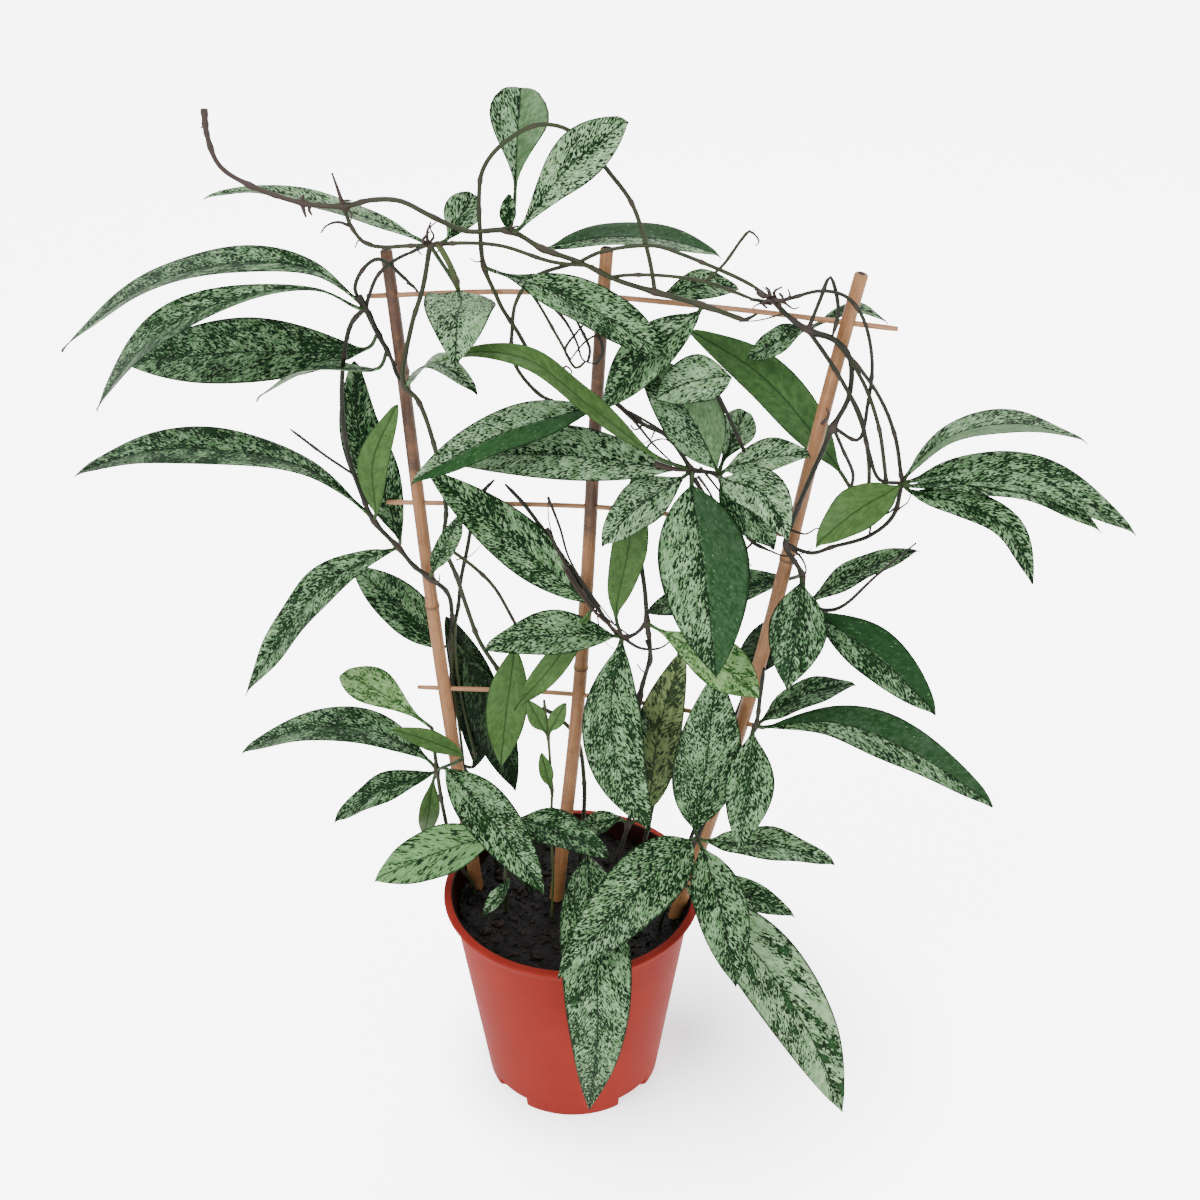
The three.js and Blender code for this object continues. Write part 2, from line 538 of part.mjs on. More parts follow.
// The direction that the blade faces: across its line, towards the eye, then turned by roll.
function facing(base, tip, roll) {
  const line = tip.clone().sub(base).normalize();
  const face = EYE.clone().sub(base.clone().lerp(tip, 0.5)).normalize();
  face.addScaledVector(line, -face.dot(line)).normalize();
  const side = new THREE.Vector3().crossVectors(line, face);
  const lead = Math.abs(line.z) < 0.75 ? side.z : side.x;
  if (lead < 0) side.negate();
  const angle = THREE.MathUtils.degToRad(roll);
  return face.multiplyScalar(Math.cos(angle)).addScaledVector(side, Math.sin(angle));
}

// The line of the midrib, petiole first, as evenly spaced places along the blade.
function midrib(start, base, via, tip) {
  const curve = new THREE.CatmullRomCurve3([start, base, ...via, tip]);
  const from = 1 / (via.length + 2);
  const fine = 60;
  const places = Array.from({ length: fine + 1 }, (_, i) => (
    curve.getPoint(from + (i / fine) * (1 - from))));
  const reach = [0];
  for (let i = 1; i <= fine; i += 1) reach.push(reach[i - 1] + places[i].distanceTo(places[i - 1]));
  const at = (s) => {
    const goal = s * reach[fine];
    const i = Math.max(1, reach.findIndex((length) => length >= goal - 1e-9));
    const part = (goal - reach[i - 1]) / (reach[i] - reach[i - 1]);
    return places[i - 1].clone().lerp(places[i], part);
  };
  return [start, ...BLADE_STEPS.map(at)];
}

// A leaf as one closed strip. Each section has three points on its upper face and three below, and
// both faces are split into triangles alike.
function leaf(stem, plan) {
  const { at, base, via, tip, wide, peak = BLADE_PEAK, roll = 0, arch = 0, crest = 0.5 } = plan;
  const start = knotPlace(stem, at);
  const blade = sight(base);
  const end = sight(tip);
  const face = facing(blade, end, roll);
  const through = via ? via.map(sight) : [blade.clone().lerp(end, crest).addScaledVector(face, arch)];
  const line = midrib(start, blade, through, end);
  const rings = line.map((place, i) => {
    const before = line[Math.max(0, i - 1)];
    const after = line[Math.min(line.length - 1, i + 1)];
    const along = after.clone().sub(before).normalize();
    const up = face.clone().addScaledVector(along, -face.dot(along)).normalize();
    const side = new THREE.Vector3().crossVectors(up, along);
    const isBlade = i > 1;
    const s = isBlade ? BLADE_STEPS[i - 1] : 0;
    const half = isBlade ? Math.max(TIP_WIDTH / 2, (wide / 2) * bladeOutline(s, peak)) : PETIOLE / 2;
    const rise = isBlade ? LEAF_FOLD * half : 0;
    const deep = isBlade ? LEAF_THICK / 2 : PETIOLE / 2;
    const corner = (out, lift) => place.clone().addScaledVector(side, out).addScaledVector(up, lift);
    return [
      corner(half, rise + deep), corner(0, deep), corner(-half, rise + deep),
      corner(-half, rise - deep), corner(0, -deep), corner(half, rise - deep),
    ];
  });
  const size = rings[0].length;
  const faces = [];
  for (let i = 0; i + 1 < rings.length; i += 1) {
    for (let j = 0; j < size; j += 1) {
      const k = (j + 1) % size;
      const [a, b, c, d] = [i * size + j, i * size + k, (i + 1) * size + k, (i + 1) * size + j];
      if (j < 3) faces.push(a, b, c, a, c, d);
      else faces.push(a, b, d, b, c, d);
    }
  }
  const last = (rings.length - 1) * size;
  for (const [a, b, c] of [[0, 1, 5], [1, 4, 5], [1, 2, 4], [2, 3, 4]]) {
    faces.push(a, c, b, last + a, last + b, last + c);
  }
  const geometry = new THREE.BufferGeometry().setFromPoints(rings.flat());
  geometry.setIndex(faces);
  return solid(geometry);
}

function knot(stem, name) {
  const thick = Math.max(...stem.vines.filter(({ along }) => along.includes(name))
    .map((run) => run.thick));
  const place = knotPlace(stem, name);
  return solid(new THREE.OctahedronGeometry(thick * KNOT).translate(place.x, place.y, place.z));
}

function makeStem(stem) {
  return join([
    ...stem.vines.map((run) => vine(stem, run)),
    ...Object.keys(stem.knots).map((name) => knot(stem, name)),
    ...Object.values(stem.leaves).map((blade) => leaf(stem, blade)),
  ]);
}

// Soil

// The filling of the pot, with a lumpy top and a plain hole for each stake and stem.
function makeSoil() {
  const wide = (height) => wallRadius(height) - WALL - GAP;
  const steps = [0.7, 0.35];
  const filling = turned([
    [0, FLOOR + GAP], [wide(FLOOR), FLOOR + GAP], [wide(SOIL_TOP), SOIL_TOP],
    ...steps.map((part) => [wide(SOIL_TOP) * part, SOIL_TOP + 1.5]), [0, SOIL_TOP + 2],
  ], 24);
  const places = filling.attributes.position;
  for (let i = 0; i < places.count; i += 1) {
    const [x, y, z] = [places.getX(i), places.getY(i), places.getZ(i)];
    const lump = Math.sin(x * 0.31 + 1) * Math.cos(y * 0.27) * SOIL_LUMP;
    if (z > SOIL_TOP + 1 && Math.hypot(x, y) > 1) places.setZ(i, z + lump);
  }
  const stemHoles = Object.values(STEMS).map(({ root: [x, y], vines }) => {
    const depth = ROOT_DEPTH + 2 * GAP;
    const hole = new THREE.CylinderGeometry(vines[0].thick / 2 + 1, vines[0].thick / 2 + 1, depth + 20, 6);
    return solid(hole.rotateX(Math.PI / 2).translate(x, y, SOIL_TOP + 20 - (depth + 20) / 2));
  });
  const stakeHoles = Object.values(STAKES).map((pole) => stakeHole(pole));
  return solid(filling).subtract(drains(WALL + GAP)).subtract(join([...stemHoles, ...stakeHoles]));
}

function stakeHole(pole) {
  const deeper = { ...pole, foot: [pole.foot[0], pole.foot[1] - GAP] };
  return stake(deeper, GAP);
}

// Materials

function finish(color, roughness) {
  return new THREE.MeshStandardMaterial({ color, roughness, metalness: 0 });
}

const TERRACOTTA = [0xb94b3e, 0.45];
const SOIL_BROWN = [0x2a2421, 0.95];
const BAMBOO = [0xc3967a, 0.6];
const RUNG_PINK = [0xd7a58c, 0.6];
const LEAF_GREEN = [0x2f5a3a, 0.4];

const plant = new THREE.Group();

function place(name, body, [color, roughness]) {
  const mesh = new THREE.Mesh(toGeometry(body), finish(color, roughness));
  mesh.name = name;
  plant.add(mesh);
}

place('pot', makePot(), TERRACOTTA);
place('soil', makeSoil(), SOIL_BROWN);
const rungHoles = join(Object.values(RUNGS).map((places) => rung(places, GAP)));
for (const [name, pole] of Object.entries(STAKES)) place(name, stake(pole).subtract(rungHoles), BAMBOO);
for (const [name, places] of Object.entries(RUNGS)) place(name, rung(places), RUNG_PINK);
for (const [name, stem] of Object.entries(STEMS)) place(name, makeStem(stem), LEAF_GREEN);

export default plant;
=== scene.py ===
# %% [markdown]
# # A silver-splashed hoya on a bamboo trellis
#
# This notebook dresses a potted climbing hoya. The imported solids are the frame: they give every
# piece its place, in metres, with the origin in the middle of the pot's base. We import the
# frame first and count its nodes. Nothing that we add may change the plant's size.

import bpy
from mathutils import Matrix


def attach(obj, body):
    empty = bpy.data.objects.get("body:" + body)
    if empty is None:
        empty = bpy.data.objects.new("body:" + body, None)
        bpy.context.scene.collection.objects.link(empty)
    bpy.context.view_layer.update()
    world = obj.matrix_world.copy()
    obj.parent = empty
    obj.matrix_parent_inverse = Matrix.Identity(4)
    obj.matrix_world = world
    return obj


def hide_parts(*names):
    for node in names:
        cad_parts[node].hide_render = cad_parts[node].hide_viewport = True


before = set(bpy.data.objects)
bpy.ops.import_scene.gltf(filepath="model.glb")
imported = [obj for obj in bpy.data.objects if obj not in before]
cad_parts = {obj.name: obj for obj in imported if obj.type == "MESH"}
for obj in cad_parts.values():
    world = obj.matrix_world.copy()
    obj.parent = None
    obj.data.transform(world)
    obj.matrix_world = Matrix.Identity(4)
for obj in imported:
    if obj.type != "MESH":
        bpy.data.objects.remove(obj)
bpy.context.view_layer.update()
print("nodes in the frame:", len(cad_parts))

# %% Tools that every cell uses
import math
import random

import bpy
from mathutils import Matrix, Vector, noise

MM = 0.001


def clamp(value):
    """The value, held between 0 and 1."""
    return max(0.0, min(1.0, value))


def srgb(red, green, blue):
    """A colour as a paint chart gives it, 0 to 255, in the linear numbers that shaders want."""
    def line(value):
        value /= 255
        return value / 12.92 if value <= 0.04045 else ((value + 0.055) / 1.055) ** 2.4
    return (line(red), line(green), line(blue), 1.0)


def show(name, data):
    """A new object in the scene."""
    shown = bpy.data.objects.new(name, data)
    bpy.context.scene.collection.objects.link(shown)
    return shown


# %% [markdown]
# ## The viewpoint
#
# The plant is seen from the front and a little above. We could turn a camera by hand until it
# looks right. Instead we keep the eye, the tilt and the focal length as named values, because the
# same three also tell where a point seen at a pixel lies in space. Leaves and vines are placed
# with that below. A place is written as pixel across, pixel down and lift: the millimetres that
# it stands in front of the slanting plane of the trellis.

# %% Camera
EYE = Vector((0.0186, -0.843, 0.857))
PITCH = math.radians(30)
PHOTO_SIZE = 1200
FOCAL = 1630
SENSOR = 36

camera_data = bpy.data.cameras.new("viewpoint")
camera_data.sensor_width = SENSOR
camera_data.lens = SENSOR * FOCAL / PHOTO_SIZE
camera = show("viewpoint", camera_data)
camera.location = EYE
camera.rotation_euler = (math.pi / 2 - PITCH, 0, 0)
bpy.context.scene.camera = camera
print("lens in millimetres:", round(camera_data.lens, 1))

# %% From a pixel to a place
RACK_Y = 3
RACK_TURN = -0.23


def on_rack(x, z):
    """A place in the trellis plane, given in millimetres."""
    return Vector((x, RACK_Y + RACK_TURN * x, z)) * MM


def sight(place):
    """Where the sight line through a pixel meets the plane that stands lift before the trellis."""
    px, py, lift = place
    across = px - PHOTO_SIZE / 2
    down = py - PHOTO_SIZE / 2
    ray = Vector((
        across,
        FOCAL * math.cos(PITCH) - down * math.sin(PITCH),
        -FOCAL * math.sin(PITCH) - down * math.cos(PITCH),
    ))
    start = (RACK_Y - lift) * MM + RACK_TURN * EYE.x - EYE.y
    return EYE + ray * (start / (ray.y - RACK_TURN * ray.x))


print("the trellis at the photo's centre:", [round(c, 3) for c in sight((600, 600, 0))])

# %% [markdown]
# ## Shader trees
#
# Shaders are trees of nodes, and writing each node and link out would hide what they work out.
# One small helper adds a node and sets or links its sockets in a single line. The same helper
# serves the floor, the sky, the groups and the materials below.

# %% A helper that adds nodes
# The sockets of a mix node that hold colours. Those before them are for numbers and vectors.
FIRST_COLOUR, SECOND_COLOUR, MIXED_COLOUR = 6, 7, 2


class Graph:
    """Adds nodes to a shader tree. A value may be a number, a colour or another node's socket."""

    def __init__(self, tree):
        self.tree = tree

    def set(self, socket, value):
        if isinstance(value, bpy.types.NodeSocket):
            self.tree.links.new(value, socket)
        else:
            socket.default_value = value

    def add(self, kind, settings=None, **values):
        """A new node with these settings, and these values at its inputs."""
        node = self.tree.nodes.new(kind)
        for key, value in (settings or {}).items():
            setattr(node, key, value)
        for key, value in values.items():
            self.set(node.inputs[key], value)
        return node

    def maths(self, operation, *values, clamp=False):
        node = self.add("ShaderNodeMath", {"operation": operation, "use_clamp": clamp})
        for socket, value in zip(node.inputs, values):
            self.set(socket, value)
        return node.outputs[0]

    def minus(self, first, second, **settings):
        return self.maths("SUBTRACT", first, second, **settings)

    def times(self, first, second, **settings):
        return self.maths("MULTIPLY", first, second, **settings)

    def over(self, first, second, **settings):
        return self.maths("DIVIDE", first, second, **settings)

    def line(self, value, gain, level, **settings):
        """The value times gain, plus level."""
        return self.maths("MULTIPLY_ADD", value, gain, level, **settings)

    def step(self, value, middle, gain, level=0.5):
        """A soft step from 0 to 1, as steep as gain, that is at level where the value is middle."""
        return self.line(self.minus(value, middle), gain, level, clamp=True)

    def mix(self, factor, first, second):
        node = self.add("ShaderNodeMix", {"data_type": "RGBA"}, Factor=factor)
        self.set(node.inputs[FIRST_COLOUR], first)
        self.set(node.inputs[SECOND_COLOUR], second)
        return node.outputs[MIXED_COLOUR]

    def noise(self, vector, scale, detail, roughness):
        return self.add("ShaderNodeTexNoise", Vector=vector, Scale=scale, Detail=detail,
                        Roughness=roughness).outputs["Fac"]

    def vector(self, x, y, z):
        return self.add("ShaderNodeCombineXYZ", X=x, Y=y, Z=z).outputs[0]

    def stored(self, name):
        """The three numbers that a mesh keeps under a name."""
        read = self.add("ShaderNodeAttribute", {"attribute_name": name})
        return self.add("ShaderNodeSeparateXYZ", Vector=read.outputs["Vector"]).outputs


# %% [markdown]
# ## Floor and light
#
# The plant stands on a plain pale floor in soft studio light. One big lamp high on the left draws
# soft shadows to the right, a weaker one fills from the right, and a pale sky lights everything
# else. Large lamps are used because a waxy leaf mirrors a small lamp as a hard white spot.
#
# Floor and sky also glow, as a light table does, because stronger lamps would wash out the
# colours of the leaves. They are brighter where they are looked at than as lamps, so the page
# stays white. A glow that strong would hide the pot's shadow, so the glow that is seen on the
# floor is dimmed in two soft round places under the plant. This paints a soft shadow there, in
# which the real shadow also shows.

# %% Floor
FLOOR_HALF = 12
FLOOR_DROP = 0.5 * MM
FLOOR_GLOW = 0.9
SKY_GLOW = 1.6
GLOW_SEEN = 6.0
GLOW_IN_PAINTED_SHADOW = 0.2
# The middle and the reach of each soft place of painted shadow, in metres
PAINTED_SHADOWS = (((0.0, 0.0, 0.0), 0.1), ((0.08, 0.02, 0.0), 0.2))
PAINTED_SHADOW_SOFTNESS = 0.3


def brighter_when_seen(graph, socket, strength, seen_strength):
    """Gives a backdrop's glow one strength as a light and another where it is looked at."""
    seen = graph.add("ShaderNodeLightPath").outputs["Is Camera Ray"]
    graph.set(socket, graph.line(seen, graph.minus(seen_strength, strength), strength))


def glow_with_painted_shadow(graph):
    """The glow that is seen: full out on the floor, and faint where the pot's soft shadow falls,
    which paints that soft shadow on the floor.
    """
    place = graph.add("ShaderNodeTexCoord").outputs["Object"]
    share = 1.0
    for middle, reach in PAINTED_SHADOWS:
        away = graph.add("ShaderNodeVectorMath", {"operation": "DISTANCE"})
        graph.set(away.inputs[0], place)
        graph.set(away.inputs[1], middle)
        part = graph.over(away.outputs["Value"], reach, clamp=True)
        share = graph.times(graph.maths("SMOOTH_MIN", part, 1.0, PAINTED_SHADOW_SOFTNESS), share)
    return graph.line(share, GLOW_SEEN - GLOW_IN_PAINTED_SHADOW, GLOW_IN_PAINTED_SHADOW)


pale_floor = bpy.data.materials.new("pale_floor")
pale_floor.use_nodes = True
floor_inputs = pale_floor.node_tree.nodes["Principled BSDF"].inputs
floor_inputs["Base Color"].default_value = srgb(252, 252, 252)
floor_inputs["Roughness"].default_value = 0.9
floor_inputs["Emission Color"].default_value = (1, 1, 1, 1)
floor_graph = Graph(pale_floor.node_tree)
brighter_when_seen(
    floor_graph, floor_inputs["Emission Strength"], FLOOR_GLOW, glow_with_painted_shadow(floor_graph))

floor_mesh = bpy.data.meshes.new("floor")
floor_mesh.from_pydata(
    [(FLOOR_HALF * x, FLOOR_HALF * y, 0) for x, y in ((-1, -1), (1, -1), (1, 1), (-1, 1))],
    [], [(0, 1, 2, 3)])
floor_mesh.materials.append(pale_floor)
floor = show("floor", floor_mesh)
floor.location.z = -FLOOR_DROP

# %% Lamps and sky
LAMPS = {
    "key_lamp": {"place": (-1.5, -1.7, 2.6), "size": 1.8, "watts": 84},
    "fill_lamp": {"place": (2.0, -1.2, 1.5), "size": 2.2, "watts": 26},
    "back_lamp": {"place": (0.6, 1.9, 2.2), "size": 1.6, "watts": 34},
}
LAMP_AIM = Vector((0, 0, 0.33))
for name, lamp in LAMPS.items():
    data = bpy.data.lights.new(name, "AREA")
    data.shape = "DISK"
    data.size = lamp["size"]
    data.energy = lamp["watts"]
    shown = show(name, data)
    shown.location = lamp["place"]
    shown.rotation_euler = (LAMP_AIM - shown.location).to_track_quat("-Z", "Y").to_euler()

world = bpy.data.worlds.new("pale_sky")
bpy.context.scene.world = world
world.use_nodes = True
sky = world.node_tree.nodes["Background"].inputs
sky["Color"].default_value = (1, 1, 1, 1)
brighter_when_seen(Graph(world.node_tree), sky["Strength"], SKY_GLOW, GLOW_SEEN)
print("lamps:", ", ".join(LAMPS))

# %% [markdown]
# ## Shader groups
#
# A leaf of this plant is easy to know: a sage ground covered with short dark flecks that run
# along and outward from the midrib, as the veins do. An image could carry that, but it would be
# the same on every leaf. We work it out in the shader, from two things that each mesh below
# stores at its points.
#
# - `blade` is the place on the leaf: across from -1 to 1, along from 0 to 1, and which half is
#   plain.
# - `grain` is the same place in millimetres, with a number of its own for each leaf.
#
# Vines, stakes and rungs store how stained a place is, how far along it is and how knotty as
# `blade`, and the way round and along the stick in millimetres as `grain`. Effects that several
# materials share are groups, made once here, and each material sets its own values.

# %% A helper that makes a group
def new_group(name, numbers, colours):
    """A shader group that takes these numbers and colours, and what it takes and gives."""
    tree = bpy.data.node_groups.new(name, "ShaderNodeTree")
    for in_out, kind, labels in (("INPUT", "Float", numbers), ("INPUT", "Color", colours),
                                 ("OUTPUT", "Color", ["Color"]),
                                 ("OUTPUT", "Float", ["Height", "Dullness"])):
        for label in labels:
            tree.interface.new_socket(name=label, in_out=in_out, socket_type="NodeSocket" + kind)
    graph = Graph(tree)
    return graph, graph.add("NodeGroupInput").outputs, graph.add("NodeGroupOutput").inputs


def finish_group(graph, gives, colour, height, dullness):
    """Links what a group has worked out to what it gives."""
    for label, value in (("Color", colour), ("Height", height), ("Dullness", dullness)):
        graph.set(gives[label], value)
    print("group:", graph.tree.name, "with", len(graph.tree.nodes), "nodes")


# %% [markdown]
# ### The splash of a leaf
#
# The ground of a leaf is pale sage, and nearly black flecks less than a millimetre wide lie all
# over it. A cell pattern would give dots that all look alike, so we take a stretched noise with a
# sharp threshold. Its coordinates are turned so that the flecks run outward on both halves of the
# blade. Two slower noises move the threshold, so the flecks thin out in one place and merge into
# blotches in another. The midrib and the thin margins are dark, and a few leaves have one half
# without a splash.

# %% Leaf splash group
VEIN_TURN = math.radians(24)
HALVES_APART = 3.7
BLOTCH_SCALE, PATCH_SCALE, TINT_SCALE = 0.3, 0.09, 0.36
# Half the midrib's width, and how far from it the flecks are denser, in millimetres
RIB_HALF, RIB_SHADE = 0.75, 4.0
# The threshold over which flecks merge, and the noise over which a plain half has a pale dot
MERGED_ABOVE, DOTS_ABOVE = 0.545, 0.65

splash, given, gives = new_group(
    "leaf_splash", ("Silver Share", "Fleck", "Streak", "Patches", "Blotches"),
    ("Silver", "Sage", "Green", "Deep", "Plain"))
across, _, plain_side = splash.stored("blade")
wide_mm, long_mm, leaf_seed = splash.stored("grain")
out_mm = splash.maths("ABSOLUTE", wide_mm)

# The place in a frame that is turned along the veins, with the two halves far apart in the noise
cos, sin = math.cos(VEIN_TURN), math.sin(VEIN_TURN)
vein_y = splash.maths("ADD", splash.times(long_mm, cos), splash.times(out_mm, sin))
vein_x = splash.minus(splash.times(out_mm, cos), splash.times(long_mm, sin))
leaf_z = splash.line(splash.maths("SIGN", wide_mm), HALVES_APART, leaf_seed)
fleck_place = splash.vector(
    splash.over(vein_x, given["Fleck"]),
    splash.over(vein_y, splash.times(given["Fleck"], given["Streak"])), leaf_z)
leaf_place = splash.vector(vein_x, splash.over(vein_y, 2.0), leaf_z)
fine = splash.noise(fleck_place, 1.0, 3.0, 0.6)
blotch = splash.noise(leaf_place, BLOTCH_SCALE, 2.0, 0.5)
patch = splash.noise(leaf_place, PATCH_SCALE, 2.0, 0.5)
middle = splash.noise(leaf_place, TINT_SCALE, 3.0, 0.65)

# Where the ground shows between the flecks
shift = splash.maths("ADD", splash.times(splash.minus(0.5, patch), given["Patches"]),
                     splash.times(splash.minus(0.5, blotch), given["Blotches"]))
share = splash.times(splash.minus(0.5, given["Silver Share"]), 0.42)
threshold = splash.maths("ADD", splash.maths("ADD", 0.5, share), shift)
near_rib = splash.minus(1.0, splash.over(out_mm, RIB_SHADE), clamp=True)
threshold = splash.line(near_rib, 0.04, threshold)
silver_mask = splash.step(fine, threshold, 30.0)

# The ground, and the flecks with their greener middle where they merge
tint = splash.step(middle, 0.5, 3.2, 0.45)
merged = splash.times(splash.minus(threshold, MERGED_ABOVE), 10.0, clamp=True)
coloured = splash.mix(silver_mask, splash.mix(merged, given["Green"], given["Deep"]),
                      splash.mix(tint, given["Sage"], given["Silver"]))

# The plain half, with a few pale dots
dots = splash.step(fine, DOTS_ABOVE, 14.0, 0.0)
streaky = splash.step(fine, 0.5, 2.2, tint)
quiet = splash.mix(splash.times(dots, 0.7), splash.mix(streaky, given["Deep"], given["Plain"]),
                   given["Silver"])
plain_edge = splash.line(middle, 3.0, -1.5)
plain_mask = splash.maths(
    "ADD", splash.times(splash.times(plain_side, across), 14.0), plain_edge, clamp=True)
plain_mask = splash.times(plain_mask, splash.maths("ABSOLUTE", plain_side))
coloured = splash.mix(plain_mask, coloured, quiet)

# The dark midrib and margin
rib = splash.minus(1.0, splash.over(out_mm, RIB_HALF), clamp=True)
edge = splash.line(splash.maths("ABSOLUTE", across), 14.0, -12.7, clamp=True)
for dark_line in (rib, edge):
    coloured = splash.mix(splash.times(dark_line, 0.9), coloured, given["Green"])
relief = splash.line(rib, -1.2, splash.times(middle, 0.7))
finish_group(splash, gives, coloured, splash.line(silver_mask, 0.12, relief),
             splash.line(middle, 0.22, 0.36))

# %% [markdown]
# ### Grain and mottling
#
# Vines, bamboo and the thin rungs all have streaks along their length and darker joints. Plastic
# and soil have none, but they do have cloudy mottling. So there is one group for each.

# %% Stick grain group
# Per millimetre
CLOUD_SCALE = 0.09

grain, given, gives = new_group(
    "stick_grain", ("Streak Width", "Streak Length"), ("Pale", "Dark", "Joint", "Stain"))
stain, _, joint = grain.stored("blade")
round_mm, long_mm, stick_seed = grain.stored("grain")
streaks = grain.noise(
    grain.vector(grain.over(round_mm, given["Streak Width"]),
                 grain.over(long_mm, given["Streak Length"]), stick_seed), 1.0, 4.0, 0.6)
clouds = grain.noise(grain.vector(round_mm, long_mm, stick_seed), CLOUD_SCALE, 3.0, 0.6)
coloured = grain.mix(grain.step(streaks, 0.5, 2.6), given["Dark"], given["Pale"])
cloudy = grain.times(grain.step(clouds, 0.52, 5.0, 0.25), 0.55)
coloured = grain.mix(cloudy, coloured, given["Dark"])
stained = grain.times(grain.step(clouds, 0.5, 1.4, stain), stain)
coloured = grain.mix(stained, coloured, given["Stain"])
coloured = grain.mix(joint, coloured, given["Joint"])
finish_group(grain, gives, coloured, grain.line(joint, 0.6, streaks),
             grain.line(streaks, 0.25, 0.4))

# %% Mottling group
METRE_IN_MM = 1000.0

mottle, given, gives = new_group(
    "mottling", ("Cloud Size", "Speck Size", "Speck Share"), ("Main", "Cloud", "Speck"))
where = mottle.add("ShaderNodeTexCoord").outputs["Object"]
clouds = mottle.noise(where, mottle.over(METRE_IN_MM, given["Cloud Size"]), 4.0, 0.6)
specks = mottle.noise(where, mottle.over(METRE_IN_MM, given["Speck Size"]), 2.0, 0.6)
coloured = mottle.mix(mottle.step(clouds, 0.5, 3.0), given["Main"], given["Cloud"])
speck_line = mottle.line(given["Speck Share"], -0.4, 0.76)
speckled = mottle.times(mottle.minus(specks, speck_line), 18.0, clamp=True)
coloured = mottle.mix(speckled, coloured, given["Speck"])
finish_group(mottle, gives, coloured, mottle.line(specks, 0.5, clouds),
             mottle.line(clouds, 0.3, 0.4))

# %% [markdown]
# ## Materials
#
# Each material puts one of the groups in front of its own Principled shader. The leaves share one
# group but not one look: some are nearly silver, some dark, and the young ones are plain fresh
# green. The waxy skin is a thin clear coat over a fairly rough base, which gives the soft
# highlights of the real leaf. What a group works out feeds colour, roughness and bump, and the
# coat is set on the shader.

# %% A helper that makes a material from a group
def grouped_material(name, group, sheen, values):
    """A material with this sheen whose colour, roughness and bump come from a group.

    sheen is the bump's strength and its height in millimetres, the shine and the clear coat.
    values go to the group's inputs in their order, and a colour is red, green and blue."""
    bump, height, shine, coat = sheen
    material = bpy.data.materials.new(name)
    material.use_nodes = True
    graph = Graph(material.node_tree)
    shader = material.node_tree.nodes["Principled BSDF"].inputs
    inner = graph.add("ShaderNodeGroup", {"node_tree": group.tree})
    for socket, value in zip(inner.inputs, values, strict=True):
        socket.default_value = srgb(*value) if isinstance(value, tuple) else value
    bumped = graph.add("ShaderNodeBump", Strength=bump, Distance=height * MM,
                       Height=inner.outputs["Height"])
    for label, value in {
            "Base Color": inner.outputs["Color"], "Roughness": inner.outputs["Dullness"],
            "Normal": bumped.outputs["Normal"], "Specular IOR Level": shine,
            "Coat Weight": coat, "Coat Roughness": 0.3}.items():
        graph.set(shader[label], value)
    return material


# %% Leaf materials
LEAF_SHEEN = (0.5, 0.6, 0.07, 0.02)
NEAR_BLACK = (3, 22, 4)
PLAIN_HALF = (30, 66, 40)
# Share of silver, a fleck's width in millimetres, how many times as long it is, patches, blotches;
# then the colours of silver, sage, fleck, merged flecks and plain half
LEAF_LOOKS = {
    "silver": (0.55, 0.7, 3.2, 0.3, 0.15,
               (135, 163, 128), (86, 118, 79), NEAR_BLACK, (24, 56, 24), (40, 72, 38)),
    "splash": (0.48, 0.8, 3.0, 0.32, 0.2,
               (122, 153, 114), (70, 104, 65), NEAR_BLACK, (20, 50, 20), (45, 69, 45)),
    "half_pale": (0.53, 0.72, 3.2, 0.3, 0.15,
                  (127, 156, 121), (74, 106, 69), NEAR_BLACK, (60, 86, 54), (92, 118, 84)),
    "dark": (0.44, 0.75, 3.2, 0.4, 0.2,
             (117, 147, 110), (60, 94, 57), (4, 23, 6), (17, 46, 18), (28, 58, 28)),
    # in_shade is painted shade: darker silver, sage and flecks for leaves that lie in shade behind
    # the others
    "in_shade": (0.46, 1.0, 2.6, 0.5, 0.3,
                 (52, 74, 50), (38, 58, 36), (8, 20, 9), (18, 38, 18), PLAIN_HALF),
    "plain": (1.6, 0.9, 2.6, 0.2, 0.3,
              (60, 90, 47), (40, 68, 33), (16, 40, 14), (24, 60, 28), PLAIN_HALF),
    "young": (1.1, 1.2, 2.6, 0.3, 0.3,
              (68, 95, 50), (50, 76, 36), (28, 54, 20), (24, 60, 28), PLAIN_HALF),
    "fresh": (0.56, 0.9, 2.4, 0.5, 0.3,
              (128, 158, 108), (88, 124, 68), (34, 66, 26), (56, 92, 42), PLAIN_HALF),
    "calm_green": (0.68, 1.0, 5.0, 0.3, 0.3,
                   (104, 140, 92), (76, 114, 66), (8, 30, 8), (24, 56, 22), PLAIN_HALF),
    "patchy_sage": (0.6, 0.8, 3.2, 0.9, 0.25,
                    (132, 158, 122), (90, 122, 82), NEAR_BLACK, (24, 56, 24), PLAIN_HALF),
    "olive": (0.56, 1.0, 4.0, 0.5, 0.3,
              (98, 112, 72), (70, 88, 50), (22, 36, 16), (36, 52, 26), PLAIN_HALF),
    "underside": (0.66, 1.0, 4.0, 0.4, 0.3,
                  (98, 122, 86), (70, 96, 60), (22, 44, 20), (36, 62, 32), PLAIN_HALF),
}
LEAVES = {name: grouped_material("leaf_" + name, splash, LEAF_SHEEN, values)
          for name, values in LEAF_LOOKS.items()}
print("leaf looks:", ", ".join(LEAVES))

